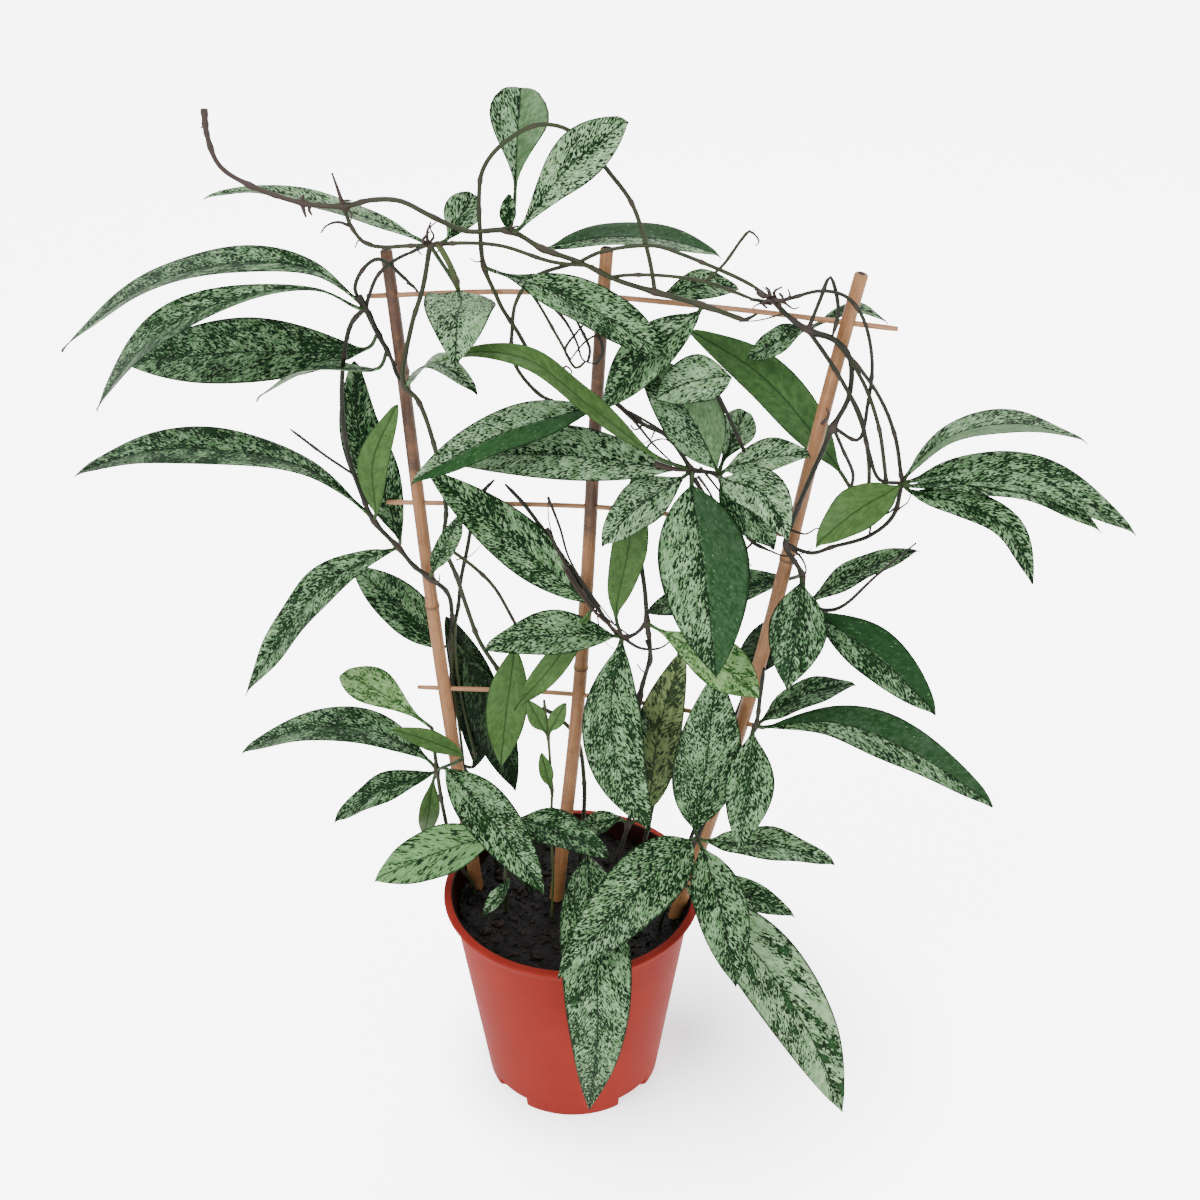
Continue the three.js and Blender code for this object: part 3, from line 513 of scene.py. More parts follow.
# %% Stick, pot and soil materials
# Group and sheen; then a streak's width and length and the colours pale, dark, joint and stain, or
# the size of clouds and specks, the share of specks and the colours main, cloud and speck
OTHER_LOOKS = {
    "vine_bark": (grain, (0.6, 0.5, 0.2, 0.0), (
        0.5, 9.0, (36, 39, 27), (10, 12, 8), (54, 42, 38), (68, 82, 40))),
    "leaf_stalk": (grain, (0.4, 0.4, 0.2, 0.0), (
        0.6, 7.0, (44, 70, 32), (16, 30, 14), (50, 42, 30), (62, 88, 40))),
    "bamboo": (grain, (0.5, 0.6, 0.3, 0.05), (
        0.7, 40.0, (150, 107, 69), (108, 71, 42), (56, 36, 23), (56, 36, 25))),
    "rung_wood": (grain, (0.4, 0.3, 0.3, 0.0), (
        0.5, 25.0, (162, 121, 86), (122, 84, 56), (110, 76, 58), (112, 76, 58))),
    "terracotta_plastic": (mottle, (0.15, 0.4, 0.04, 0.0), (
        45.0, 1.4, 0.02, (116, 32, 25), (126, 39, 31), (170, 78, 64))),
    # The nearly black inside of the pot: soil stain and painted shade
    "soil_stain_and_shade_plastic": (mottle, (0.4, 0.8, 0.04, 0.0), (
        9.0, 1.6, 0.35, (20, 10, 9), (38, 13, 11), (16, 12, 11))),
    "potting_soil": (mottle, (1.0, 3.0, 0.1, 0.0), (
        14.0, 3.2, 0.2, (9, 8, 8), (17, 14, 13), (50, 38, 30))),
    "soil_crumbs": (mottle, (0.8, 1.0, 0.1, 0.0), (
        6.0, 2.0, 0.2, (16, 13, 12), (34, 25, 20), (72, 56, 44))),
}
STUFF = {name: grouped_material(name, *look) for name, look in OTHER_LOOKS.items()}
print("stick, pot and soil materials:", ", ".join(STUFF))

# %% [markdown]
# ## Lines through space
#
# Vines and midribs are smooth lines through a few places. Blender's own curves would do for a
# tube, but a leaf needs the line's points and directions to build its blade on, so we compute a
# centripetal Catmull-Rom curve. It passes through every place and never loops between two that
# lie close together.

# %% A smooth line through places
SAME_PLACE = 1e-6
FINE_STEPS = 24


def curve_point(places, t):
    """The point at t, from 0 to 1, on the centripetal Catmull-Rom curve through the places."""
    reach = (len(places) - 1) * t
    i = min(int(reach), len(places) - 2)
    w = reach - i
    b, c = places[i], places[i + 1]
    a = places[i - 1] if i > 0 else b * 2 - c
    d = places[i + 2] if i + 2 < len(places) else c * 2 - b
    step_ab, step_bc, step_cd = ((q - p).length ** 0.5 for p, q in ((a, b), (b, c), (c, d)))
    if step_bc < SAME_PLACE:
        return b.copy()
    step_ab = step_ab if step_ab > SAME_PLACE else step_bc
    step_cd = step_cd if step_cd > SAME_PLACE else step_bc
    leave = (b - a) / step_ab - (c - a) / (step_ab + step_bc) + (c - b) / step_bc
    arrive = (c - b) / step_bc - (d - b) / (step_bc + step_cd) + (d - c) / step_cd
    leave, arrive = leave * step_bc, arrive * step_bc
    rise = (c - b) * 3 - leave * 2 - arrive
    fall = (b - c) * 2 + leave + arrive
    return b + leave * w + rise * w ** 2 + fall * w ** 3


def even_points(places, step, begin=0.0, end=1.0, least=4):
    """Points spaced evenly along the curve, about step apart, and the length up to each."""
    fine = FINE_STEPS * len(places)
    dense = [curve_point(places, begin + (end - begin) * i / fine) for i in range(fine + 1)]
    reach = [0.0]
    for before, after in zip(dense, dense[1:]):
        reach.append(reach[-1] + (after - before).length)
    count = max(least, round(reach[-1] / step))
    points, lengths, j = [], [], 1
    for i in range(count + 1):
        goal = reach[-1] * i / count
        while j < fine and reach[j] < goal:
            j += 1
        part = (goal - reach[j - 1]) / max(reach[j] - reach[j - 1], 1e-9)
        points.append(dense[j - 1].lerp(dense[j], part))
        lengths.append(goal)
    return points, lengths


def directions(points):
    """The unit direction of a line at each of its points."""
    last = len(points) - 1
    return [(points[min(i + 1, last)] - points[max(i - 1, 0)]).normalized()
            for i in range(last + 1)]


def turns(sides):
    """Angles all the way round."""
    return [math.tau * j / sides for j in range(sides)]


# %% [markdown]
# ## Growing meshes ring by ring
#
# A vine, a stalk, a leaf, a stake and the pot's wall are all the same kind of mesh: rings of
# points, one after the other, joined by quads and closed at both ends. `Clay` collects such rings
# for one piece, with a material and the two stored triples for each point, and turns them into
# one object.

# %% Clay
class Clay:
    """Collects closed ring meshes for one piece."""

    def __init__(self):
        self.points, self.faces, self.looks = [], [], []
        self.blade, self.grain = [], []
        self.materials = []

    def look(self, material):
        if material not in self.materials:
            self.materials.append(material)
        return self.materials.index(material)

    def rings(self, rings, look, blade=None, grain=None):
        """Rings of equal size, closed at both ends.

        look is one look for all, or gives the look for a ring and a side. Without blade and grain,
        zeros are stored."""
        first, size = len(self.points), len(rings[0])
        look_at = look if callable(look) else lambda i, j: look
        for ring in rings:
            self.points.extend(ring)
        for kept, rows in ((self.blade, blade), (self.grain, grain)):
            for row in rows or [[(0.0, 0.0, 0.0)] * size] * len(rings):
                kept.extend(row)
        for i in range(len(rings) - 1):
            a = first + i * size
            for j in range(size):
                k = (j + 1) % size
                self.faces.append((a + j, a + k, a + size + k, a + size + j))
                self.looks.append(look_at(i, j))
        last = first + (len(rings) - 1) * size
        self.faces.append(tuple(first + j for j in reversed(range(size))))
        self.faces.append(tuple(last + j for j in range(size)))
        self.looks.extend((look_at(0, 0), look_at(len(rings) - 2, 0)))

    def piece(self, name, nodes, auto_smooth=None):
        """The finished object. It rides on the root body and stands for these nodes."""
        mesh = bpy.data.meshes.new(name)
        mesh.from_pydata([tuple(point) for point in self.points], [], self.faces)
        mesh.polygons.foreach_set("use_smooth", [True] * len(self.faces))
        for material in self.materials:
            mesh.materials.append(material)
        mesh.polygons.foreach_set("material_index", self.looks)
        for label, values in (("blade", self.blade), ("grain", self.grain)):
            kept = mesh.attributes.new(label, "FLOAT_VECTOR", "POINT")
            kept.data.foreach_set("vector", [number for triple in values for number in triple])
        mesh.update()
        if auto_smooth is not None:
            mesh.set_sharp_from_angle(angle=math.radians(auto_smooth))
        shown = show(name, mesh)
        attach(shown, "root")
        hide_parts(*nodes)
        print(f"{name}: {len(self.faces)} faces, {len(self.materials)} materials")


# %% A tube along a line
def tube(clay, points, lengths, radii, material, stain, joints, sides):
    """A round stick along the points. stain and joints are from 0 to 1 at each of them."""
    look = clay.look(material)
    ways = directions(points)
    seed = random.uniform(0, 60)
    side = ways[0].orthogonal().normalized()
    rings, blade, grain_rows = [], [], []
    for i, (point, way, radius) in enumerate(zip(points, ways, radii)):
        side = (side - way * side.dot(way)).normalized()
        up = way.cross(side)
        rings.append([point + (side * math.cos(a) + up * math.sin(a)) * radius
                      for a in turns(sides)])
        blade.append([(stain[i], i / len(points), joints[i])] * sides)
        grain_rows.append([(radius / MM * math.sin(a) * 2, lengths[i] / MM, seed + math.cos(a))
                           for a in turns(sides)])
    clay.rings(rings, look, blade, grain_rows)


# %% [markdown]
# ## The stems
#
# Ten stems rise from the soil. Each one has its root in millimetres, its named knots, its vines
# and its leaves, placed as they are in the solids, with the look of each leaf added.
#
# - A vine has its thickness in millimetres, and then the places and knots that it runs through.
# - A leaf has the knot that its stalk grows from, its look, its width in millimetres, its roll in
#   degrees, its arch in millimetres, and then the places that its blade runs through, from the
#   stalk to the tip. Only two places are enough for a blade that arches evenly. A few leaves also
#   say where along the blade they are widest (peak) and on which side of the midrib they are
#   plain.

# %% Places of stems, knots, vines and leaves
STEMS = {}
STEMS["crown_stem"] = dict(
    root=(4, 22),
    knots=dict(fork=(444, 545, 6), hanging=(515, 623, 6), tie=(404, 385, 11),
        elbow=(430, 245, 10), crown=(510, 231, 8), foot=(484, 267, 5), high=(543, 249, 8),
        middle=(655, 292, 8), right=(701, 305, 8), end=(744, 320, 8)),
    vines=[
        (3, "root", (582, 840, -18), (584, 780, -14), (575, 735, -11), (548, 711, -8),
         (536, 708, -6), (523, 701, 3), (510, 686, 7), (495, 665, 6), (479, 640, 6),
         (467, 608, 6), (456, 575, 6), "fork", (446, 508, 6), (433, 441, 7), (417, 399, 10),
         "tie", (411, 328, 10), (423, 287, 10), "elbow"),
        (3, (204, 109, 10), (207, 135, 10), (219, 165, 9), (245, 183, 8), (302, 203, 8),
         (343, 206, 8), (372, 200, 8), (400, 201, 8), (431, 216, 8), (466, 231, 8), "crown",
         "high", (579, 262, 8), (617, 280, 8), "middle", "right", "end"),
        (2.4, (343, 206, 8), (352, 228, 9), (365, 243, 10), (383, 247, 11), (405, 246, 11),
         "elbow"),
        (2.6, (530, 354, 6), (517, 331, 6), (502, 308, 6), (496, 295, 6), "foot", (480, 229, 6),
         (479, 198, 6), (482, 172, 6), (497, 149, 6), (533, 126, 6), (553, 125, 6), (568, 130, 6),
         (589, 147, 6), (609, 172, 7), (630, 200, 8), (640, 224, 9), (650, 262, 9), "middle"),
        (2.4, (579, 262, 8), (538, 275, 7), (524, 288, 6), (515, 305, 6), (512, 331, 6),
         (512, 356, 6), (522, 376, 6), (543, 397, 7), (553, 400, 8)),
        (2.4, "elbow", (466, 243, 11), (502, 246, 11), (553, 262, 10), (594, 266, 8)),
        (2.4, (579, 262, 8), (604, 251, 10), (655, 246, 10), (681, 254, 9), (706, 264, 8),
         (740, 279, 7), (760, 290, 6)),
        (2.2, (610, 277, 8), (630, 275, 9), (668, 276, 9), (706, 282, 8), (755, 300, 6)),
        (1.8, (706, 281, 8), (724, 264, 9), (742, 239, 9), (750, 231, 9), (757, 237, 9)),
        (1.8, (526, 286, 6), (538, 303, 7), (561, 343, 9), (576, 368, 9), (586, 361, 9)),
        (2.4, "fork", (475, 568, 7), (494, 587, 6), "hanging"),
    ],
    leaves=dict(
        edge_on=("elbow", "silver", 19, 62, 0, (418, 239, 8), (345, 211, -2), (262, 191, -8),
            (203, 196, -8)),
        heart=("elbow", "silver", 38, 0, 6, (459, 292, 20), (455, 364, 80), {"peak": 0.3}),
        small_top=("elbow", "silver", 21, 10, 0, (445, 241, 8), (475, 192, -16), {"peak": 0.6}),
        tie_leaf=("tie", "silver", 20, 60, 15, (408, 384, 13), (477, 391, 34)),
        summit=("crown", "half_pale", 34, 8, 0, (514, 208, 0), (517, 140, -6), (521, 83, -20),
            {"peak": 0.75, "plain": -1}),
        summit_right=("crown", "silver", 28, 20, 0, (519, 229, 13), (567, 169, 18),
            (629, 118, 20), {"peak": 0.62}),
        summit_bud=("crown", "dark", 9, 0, 0, (507, 227, 10), (509, 193, 22)),
        behind_middle=("high", "splash", 26, 58, 0, (550, 248, 0), (600, 238, -8),
            (664, 240, -12), (722, 255, -18), {"plain": 1}),
        splash_long=("foot", "splash", 31, 38, 8, (494, 271, 10), (668, 356, 34), {"peak": 0.58}),
        splash_under=("right", "splash", 30, 30, 6, (699, 312, 12), (602, 408, 20)),
        small_right=("middle", "splash", 21, 40, 4, (666, 294, -4), (740, 288, -18)),
        pale_hanging=("hanging", "young", 26, -6, 4, (515, 646, 6), (501, 764, 9)),
    ))
STEMS["left_stem"] = dict(
    root=(-52, 34),
    knots=dict(low=(462, 765, -11), joint=(451, 640, -9), tie=(430, 578, 9),
        shoulder=(398, 547, 7), bend=(374, 521, 6), top=(365, 308, 6), side=(378, 333, 3),
        spur=(387, 350, 5)),
    vines=[
        (3, "root", (490, 830, -16), "low", (453, 703, -9), "joint", (452, 615, -4),
         (447, 592, 4), "tie", (414, 566, 8), "shoulder", "bend", (357, 482, 6), (348, 454, 6),
         (342, 407, 6), (344, 356, 6), (351, 324, 6), "top"),
        (2.6, "joint", (458, 608, -10), (461, 579, -10), (467, 550, -10), (475, 508, -10),
         (482, 493, -9), (494, 480, -8)),
        (2.4, "top", (355, 289, 9), (364, 268, 10), (378, 259, 11), (390, 265, 11),
         (401, 275, 10), (411, 284, 6)),
        (2.2, "top", (378, 275, 9), (397, 259, 10), (414, 251, 9)),
        (2.4, "top", "side", "spur", (394, 365, 9)),
        (1.8, (353, 474, 6), (326, 456, 9), (290, 429, 14)),
    ],
    leaves=dict(
        far_top=("top", "dark", 34, 62, 0, (357, 300, 8), (315, 271, 12), (240, 263, 16),
            (150, 286, 20), (61, 348, 22), {"peak": 0.52}),
        far_shadow=("top", "dark", 40, 60, 0, (358, 308, 13), (318, 290, 28), (245, 296, 43),
            (155, 337, 54), (96, 407, 60), {"peak": 0.68}),
        far_dark=("side", "dark", 41, 20, 6, (365, 349, -8), (125, 362, -24), {"peak": 0.48}),
        far_thin=("spur", "dark", 24, 84, 8, (379, 368, 10), (256, 398, 14)),
        long_left=("bend", "dark", 35, 48, 0, (364, 510, 7), (311, 471, 12), (235, 452, 18),
            (150, 451, 24), (74, 473, 30), {"peak": 0.58}),
        young_upright=("bend", "young", 18, 4, 0, (376, 513, 8), (373, 462, 11), (398, 402, 12)),
        low_behind=("joint", "dark", 30, 15, 4, (444, 647, -12), (352, 566, -26)),
        arching=("shoulder", "splash", 29, 42, 0, (392, 550, 10), (366, 560, 16), (321, 589, 28),
            (245, 693, 52)),
        upright_dark=("shoulder", "dark", 29, 14, 0, (400, 540, -5), (380, 485, -18),
            (358, 425, -24), (354, 357, -34)),
        tie_small=("tie", "splash", 15, 30, 0, (433, 571, 14), (461, 512, 36)),
        tall_dark=("low", "in_shade", 29, 6, 0, (473, 767, -14), (477, 700, -18),
            (446, 613, -16)),
        shadow_hanging=("joint", "in_shade", 28, 12, 4, (463, 653, -13), (515, 788, -24)),
        pot_shadow=("low", "in_shade", 26, 25, 6, (470, 776, -13), (533, 893, 12)),
    ))
STEMS["low_left_stem"] = dict(
    root=(-66, 10),
    knots=dict(node=(437, 770, 6), upper=(432, 728, 7)),
    vines=[
        (2.8, "root", (455, 855, 11), (443, 808, 8), "node", "upper"),
    ],
    leaves=dict(
        front_down=("node", "splash", 33, 14, 9, (446, 769, 16), (544, 892, 78)),
        left_down=("node", "dark", 24, 40, 6, (432, 773, 8), (334, 820, 32)),
        left_hump=("node", "dark", 33, 44, 0, (427, 759, 5), (372, 731, 5), (312, 728, 7),
            (242, 750, 8)),
        left_splash=("upper", "fresh", 29, 26, 5, (428, 725, 6), (340, 672, -12), {"peak": 0.66}),
        young_cross=("node", "young", 15, 30, 0, (462, 756, 17), (432, 742, 22), (391, 729, 28)),
        young_low=("node", "young", 14, 10, 5, (433, 782, 3), (424, 834, -8)),
    ))
STEMS["front_shoot"] = dict(
    root=(-44, -8),
    knots=dict(node=(505, 826, 18), low=(506, 878, 21)),
    vines=[
        (2.6, "root", "low", "node"),
    ],
    leaves=dict(
        right_low=("node", "dark", 28, 32, 7, (513, 821, 26), (610, 856, 52)),
        streaked=("node", "calm_green", 34, 14, 6, (498, 832, 19), (374, 879, 36)),
        pot_small=("low", "splash", 11, 20, 0, (509, 881, 26), (483, 916, 42)),
    ))
STEMS["young_shoot"] = dict(
    root=(-13, -14),
    knots=dict(low=(552, 790, 23), mid=(548, 735, 26), tip=(544, 700, 27)),
    vines=[
        (1.9, "root", (553, 870, 20), (551, 825, 20), "low", (550, 760, 25), "mid", "tip"),
    ],
    leaves=dict(
        low_leaf=("low", "young", 9, 0, 0, (550, 786, 26), (541, 752, 36)),
        right_leaf=("mid", "young", 10, 0, 0, (550, 731, 28), (566, 702, 34)),
        left_leaf=("mid", "young", 12, 0, 0, (545, 731, 27), (528, 700, 32)),
    ))
STEMS["hanging_stem"] = dict(
    root=(12, -14),
    knots=dict(node=(588, 846, 16)),
    vines=[
        (2.6, "root", (590, 885, 15), "node", (590, 826, 15)),
    ],
    leaves=dict(
        over_rim=("node", "splash", 43, 0, 0, (588, 857, 22), (592, 912, 62), (597, 975, 99),
            (597, 1042, 107), (589, 1107, 102), {"peak": 0.35}),
    ))
STEMS["middle_stem"] = dict(
    root=(24, 2),
    knots=dict(low=(628, 825, -2), upright=(637, 760, 4), rung=(640, 696, 7), node=(647, 622, 7),
        side=(622, 637, 9), branch=(595, 604, 11)),
    vines=[
        (3, "root", (616, 862, -5), "low", "upright", "rung", (650, 655, 7), "node",
         (645, 592, 2), (641, 563, -3), (637, 533, -6), (630, 500, -7)),
        (2.6, "node", (635, 634, 8), "side", "branch", (580, 581, 11), (561, 554, 8),
         (542, 528, 6), (523, 503, 6), (505, 484, 4)),
    ],
    leaves=dict(
        hanging_left=("side", "splash", 37, 8, 0, (622, 644, 14), (611, 705, 27), (618, 765, 36),
            (650, 829, 42)),
        hanging_behind=("side", "silver", 22, 0, 3, (619, 646, 9), (598, 781, 16)),
        across_stake=("side", "splash", 31, 32, 8, (613, 636, 13), (484, 648, 38)),
        young_left=("branch", "young", 17, 20, 5, (589, 614, 13), (514, 709, 24)),
        across_rung=("branch", "splash", 31, 8, 5, (588, 602, 13), (428, 471, 13)),
        folded=("side", "young", 22, 20, 4, (616, 617, 7), (638, 465, 8)),
        olive=("low", "olive", 30, -6, 0, (644, 813, 1), (660, 725, 5), (684, 648, 8)),
        narrow=("rung", "dark", 12, 0, 0, (638, 706, 8), (640, 742, 10)),
        behind_low=("low", "splash", 18, 30, 3, (621, 819, -3), (573, 836, -5)),
        green_right=("node", "fresh", 32, 24, 6, (652, 626, 12), (759, 695, 36), {"peak": 0.64}),
    ))
STEMS["heart_stem"] = dict(
    root=(42, 16),
    knots=dict(heart=(692, 470, 10), twin=(719, 476, 8), hold=(611, 399, 11),
        whorl=(716, 391, 8)),
    vines=[
        (3, "root", (645, 840, -21), (660, 770, -18), (672, 700, -15), (684, 620, -9),
         (688, 560, -5), (690, 536, 3), (691, 506, 8), "heart"),
        (2.8, "heart", (667, 436, 12), (643, 424, 12), "hold"),
        (2.6, "heart", "twin", (728, 504, 7), (753, 542, 7), (768, 550, 8)),
        (2.4, (748, 536, 7), (758, 505, 6), (752, 473, 4), (735, 430, 5), "whorl"),
    ],
    leaves=dict(
        near_white=("whorl", "silver", 29, 26, 7, (730, 378, 11), (656, 397, 27)),
        upper_left=("twin", "half_pale", 36, 14, 0, (716, 468, 11), (686, 410, 12), (640, 358, 5),
            {"plain": -1}),
        upper_behind=("twin", "silver", 22, 16, 0, (721, 466, 4), (746, 408, -16),
            {"peak": 0.66}),
        right_high=("twin", "silver", 27, 46, 3, (726, 470, 9), (811, 454, 18)),
        right_white=("twin", "silver", 27, 18, 0, (723, 479, 20), (766, 497, 40), (788, 537, 50)),
        right_dark=("twin", "dark", 28, 22, 4, (721, 483, 10), (774, 546, 22)),
        left_front=("heart", "silver", 28, 25, 6, (682, 478, 14), (602, 543, 30)),
        great_front=("heart", "splash", 50, 5, 8, (692, 486, 22), (716, 674, 66),
            {"peak": 0.41, "plain": 1}),
        left_dark=("heart", "silver", 36, 32, 9, (674, 469, 12), (440, 458, 32)),
        young_long=("heart", "young", 19, 45, 0, (657, 457, 23), (583, 401, 38), (530, 361, 46),
            (480, 352, 46), (436, 361, 46)),
        left_silver=("hold", "silver", 30, 40, 8, (598, 405, 18), (410, 482, 62), {"plain": 1}),
    ))
STEMS["right_stem"] = dict(
    root=(64, 12),
    knots=dict(twin=(800, 605, -4), turn=(802, 575, 3), tie=(786, 545, 10), dry=(775, 303, 6),
        top=(808, 330, 9), fork=(833, 427, 10), drop=(851, 489, -13), cluster=(902, 483, 6)),
    vines=[
        (3, "root", (686, 850, -18), (712, 780, -14), (738, 710, -12), (762, 660, -12),
         (788, 632, -9), "twin", "turn", "tie", (793, 520, 10), (810, 479, 10), (823, 450, 10),
         "fork", (849, 396, 9), (849, 356, 9), (832, 338, 9), "top", (788, 316, 8), "dry"),
        (2.6, "tie", (812, 553, 10), (832, 547, 9), (869, 536, 8), (893, 516, 7), "cluster"),
        (2.2, "top", (826, 355, 13), (843, 383, 14), (860, 414, 14), (869, 452, 13),
         (880, 480, 10), "cluster"),
        (2.4, (832, 338, 9), (857, 365, 13), (880, 398, 12), (895, 436, 9), "cluster"),
        (2.2, "dry", (795, 297, 7), (820, 291, 8), (845, 296, 10), (862, 316, 11), (872, 359, 9),
         (868, 403, 6), (858, 440, 7), "fork"),
        (2.2, "top", (820, 300, 8), (830, 277, 8), (836, 292, 8), (838, 314, 9), (832, 338, 9)),
        (2.2, "fork", (843, 450, 3), (853, 474, -7), "drop"),
    ],
    leaves=dict(
        tie_left=("top", "splash", 18, 34, 0, (803, 330, 0), (747, 357, -22)),
        thin_right=("top", "splash", 13, 60, 8, (820, 323, -8), (888, 322, -20)),
        plain_great=("drop", "plain", 28, 22, 0, (839, 470, -15), (766, 380, -23),
            (687, 328, -30)),
        cluster_high=("cluster", "half_pale", 25, 58, 0, (908, 474, 5), (950, 437, 0),
            (1014, 424, -6), (1088, 440, -14), {"plain": -1}),
        cluster_long=("cluster", "splash", 33, 48, 0, (911, 481, 8), (960, 473, 13),
            (1036, 480, 20), (1137, 532, 26)),
        cluster_under=("cluster", "splash", 20, 42, 0, (912, 486, 15), (962, 482, 24),
            (1036, 493, 32), (1102, 530, 36)),
        cluster_low=("cluster", "splash", 20, 30, 0, (910, 491, 13), (965, 505, 34),
            (1009, 529, 46), (1033, 581, 54)),
        cluster_young=("cluster", "young", 27, 24, 5, (898, 487, 9), (816, 544, 34)),
        twig_leaf=("twin", "splash", 20, 42, 5, (810, 601, -6), (920, 549, -22)),
        behind_left=("turn", "dark", 26, 28, 5, (788, 579, -12), (645, 612, -36)),
        hanging=("turn", "dark", 34, 14, 5, (801, 584, 9), (787, 686, 38)),
        low_right=("twin", "dark", 32, 26, 8, (809, 610, -2), (936, 712, 24),
            {"peak": 0.5, "plain": 1}),
        behind_stake=("twin", "in_shade", 25, 12, 3, (791, 612, -9), (738, 678, -14)),
    ))
STEMS["right_low_stem"] = dict(
    root=(58, -26),
    knots=dict(node=(697, 838, 18), upper=(755, 727, 9), low=(680, 878, 18)),
    vines=[
        (2.8, "root", "low", "node", (722, 785, 15), "upper", (760, 697, 9), (764, 668, 9)),
    ],
    leaves=dict(
        upper_right=("upper", "dark", 24, 44, 6, (763, 720, 5), (857, 683, -8)),
        long_right=("upper", "splash", 33, 36, 0, (765, 727, 10), (834, 723, 14), (908, 750, 20),
            (993, 804, 26), {"peak": 0.52, "plain": 1}),
        drooping=("upper", "splash", 30, 14, 5, (753, 734, 13), (740, 846, 42)),
        side_low=("node", "splash", 26, 38, 6, (707, 841, 16), (835, 862, 20)),
        side_lowest=("low", "splash", 22, 28, 4, (693, 880, 15), (795, 915, 12)),
        front_down=("node", "splash", 34, 14, 8, (702, 848, 25), (736, 984, 92)),
        great_sage=("low", "patchy_sage", 44, 8, 0, (687, 886, 24), (753, 950, 48),
            (804, 1024, 68), (843, 1110, 80)),
        diagonal=("node", "splash", 41, 6, 0, (691, 841, 27), (640, 888, 72), (558, 976, 120),
            {"peak": 0.38}),
        upright_splash=("node", "splash", 42, 12, 5, (696, 830, 21), (716, 672, 14)),
    ))

# %% [markdown]
# ## Leaves
#
# A hoya's leaf is stiff and fleshy, about 1.5 mm thick, a shallow trough along its midrib, with a
# round margin and a drawn-out tip. A flat card with a picture would look thin from the side. We
# sweep one closed ring instead: it is round along the stalk and turns into a wide flat lens along
# the blade.

# %% A leaf's outline and the way it faces
LEAF_THICK = 1.4 * MM
STALK_RADIUS = 1.15 * MM
LEAF_FOLD = 0.18
BLADE_PEAK = 0.45
LEAF_SIDES = 20
ROW_STEP = 4.5 * MM
STALK_STEP = 3 * MM
# Where the rings lie on the last step of a blade, so that its fine tip is round
TIP_PARTS = (0.4, 0.7, 1.0)


def blade_outline(s, peak):
    """Half the width of the blade at s along it, where it is one at its peak."""
    if not 0 < s < 1:
        return 0.0
    wave = math.sin(math.pi * s ** (math.log(0.5) / math.log(peak)))
    blunt = 0.65 - max(0, peak - 0.6)
    return wave ** (1 if s < peak else blunt) * (1 - 0.25 * s ** 5)


def facing(base, tip, roll):
    """The way the blade faces: across its line, towards the eye, then turned by roll."""
    line = (tip - base).normalized()
    face = (EYE - base.lerp(tip, 0.5)).normalized()
    face = (face - line * face.dot(line)).normalized()
    side = line.cross(face)
    lead = side.z if abs(line.z) < 0.75 else side.x
    if lead < 0:
        side.negate()
    angle = math.radians(roll)
    return face * math.cos(angle) + side * math.sin(angle)


def finer_tip(rib, reach):
    """The midrib with three points in place of its last step, for a leaf's fine hooked tip."""
    step = reach[-1] - reach[-2]
    return (rib[:-1] + [rib[-2].lerp(rib[-1], part) for part in TIP_PARTS],
            reach[:-1] + [reach[-2] + step * part for part in TIP_PARTS])


# %% One leaf
# The tip hooks down over this share of the blade, by this much on a wide leaf
HOOK = 0.06
HOOK_DROP = 2.4 * MM
# Half widths from which a tip hooks fully and a margin ripples fully
FULL_HOOK, FULL_RIPPLE = 12 * MM, 14 * MM
# The round stalk opens into a flat blade over this share of the blade
OPENS_OVER = 0.1
# The groove over the midrib: its depth, and how many times as narrow as half the blade
GROOVE_DEEP, GROOVE_NARROW = 0.4 * MM, 7
# How stained a stalk looks, and the place along it, which its group doesn't use
STALK_LOOK = (0.3, 0.5)
# Looks that are the same on the underside
SAME_BELOW = ("young", "plain", "olive")


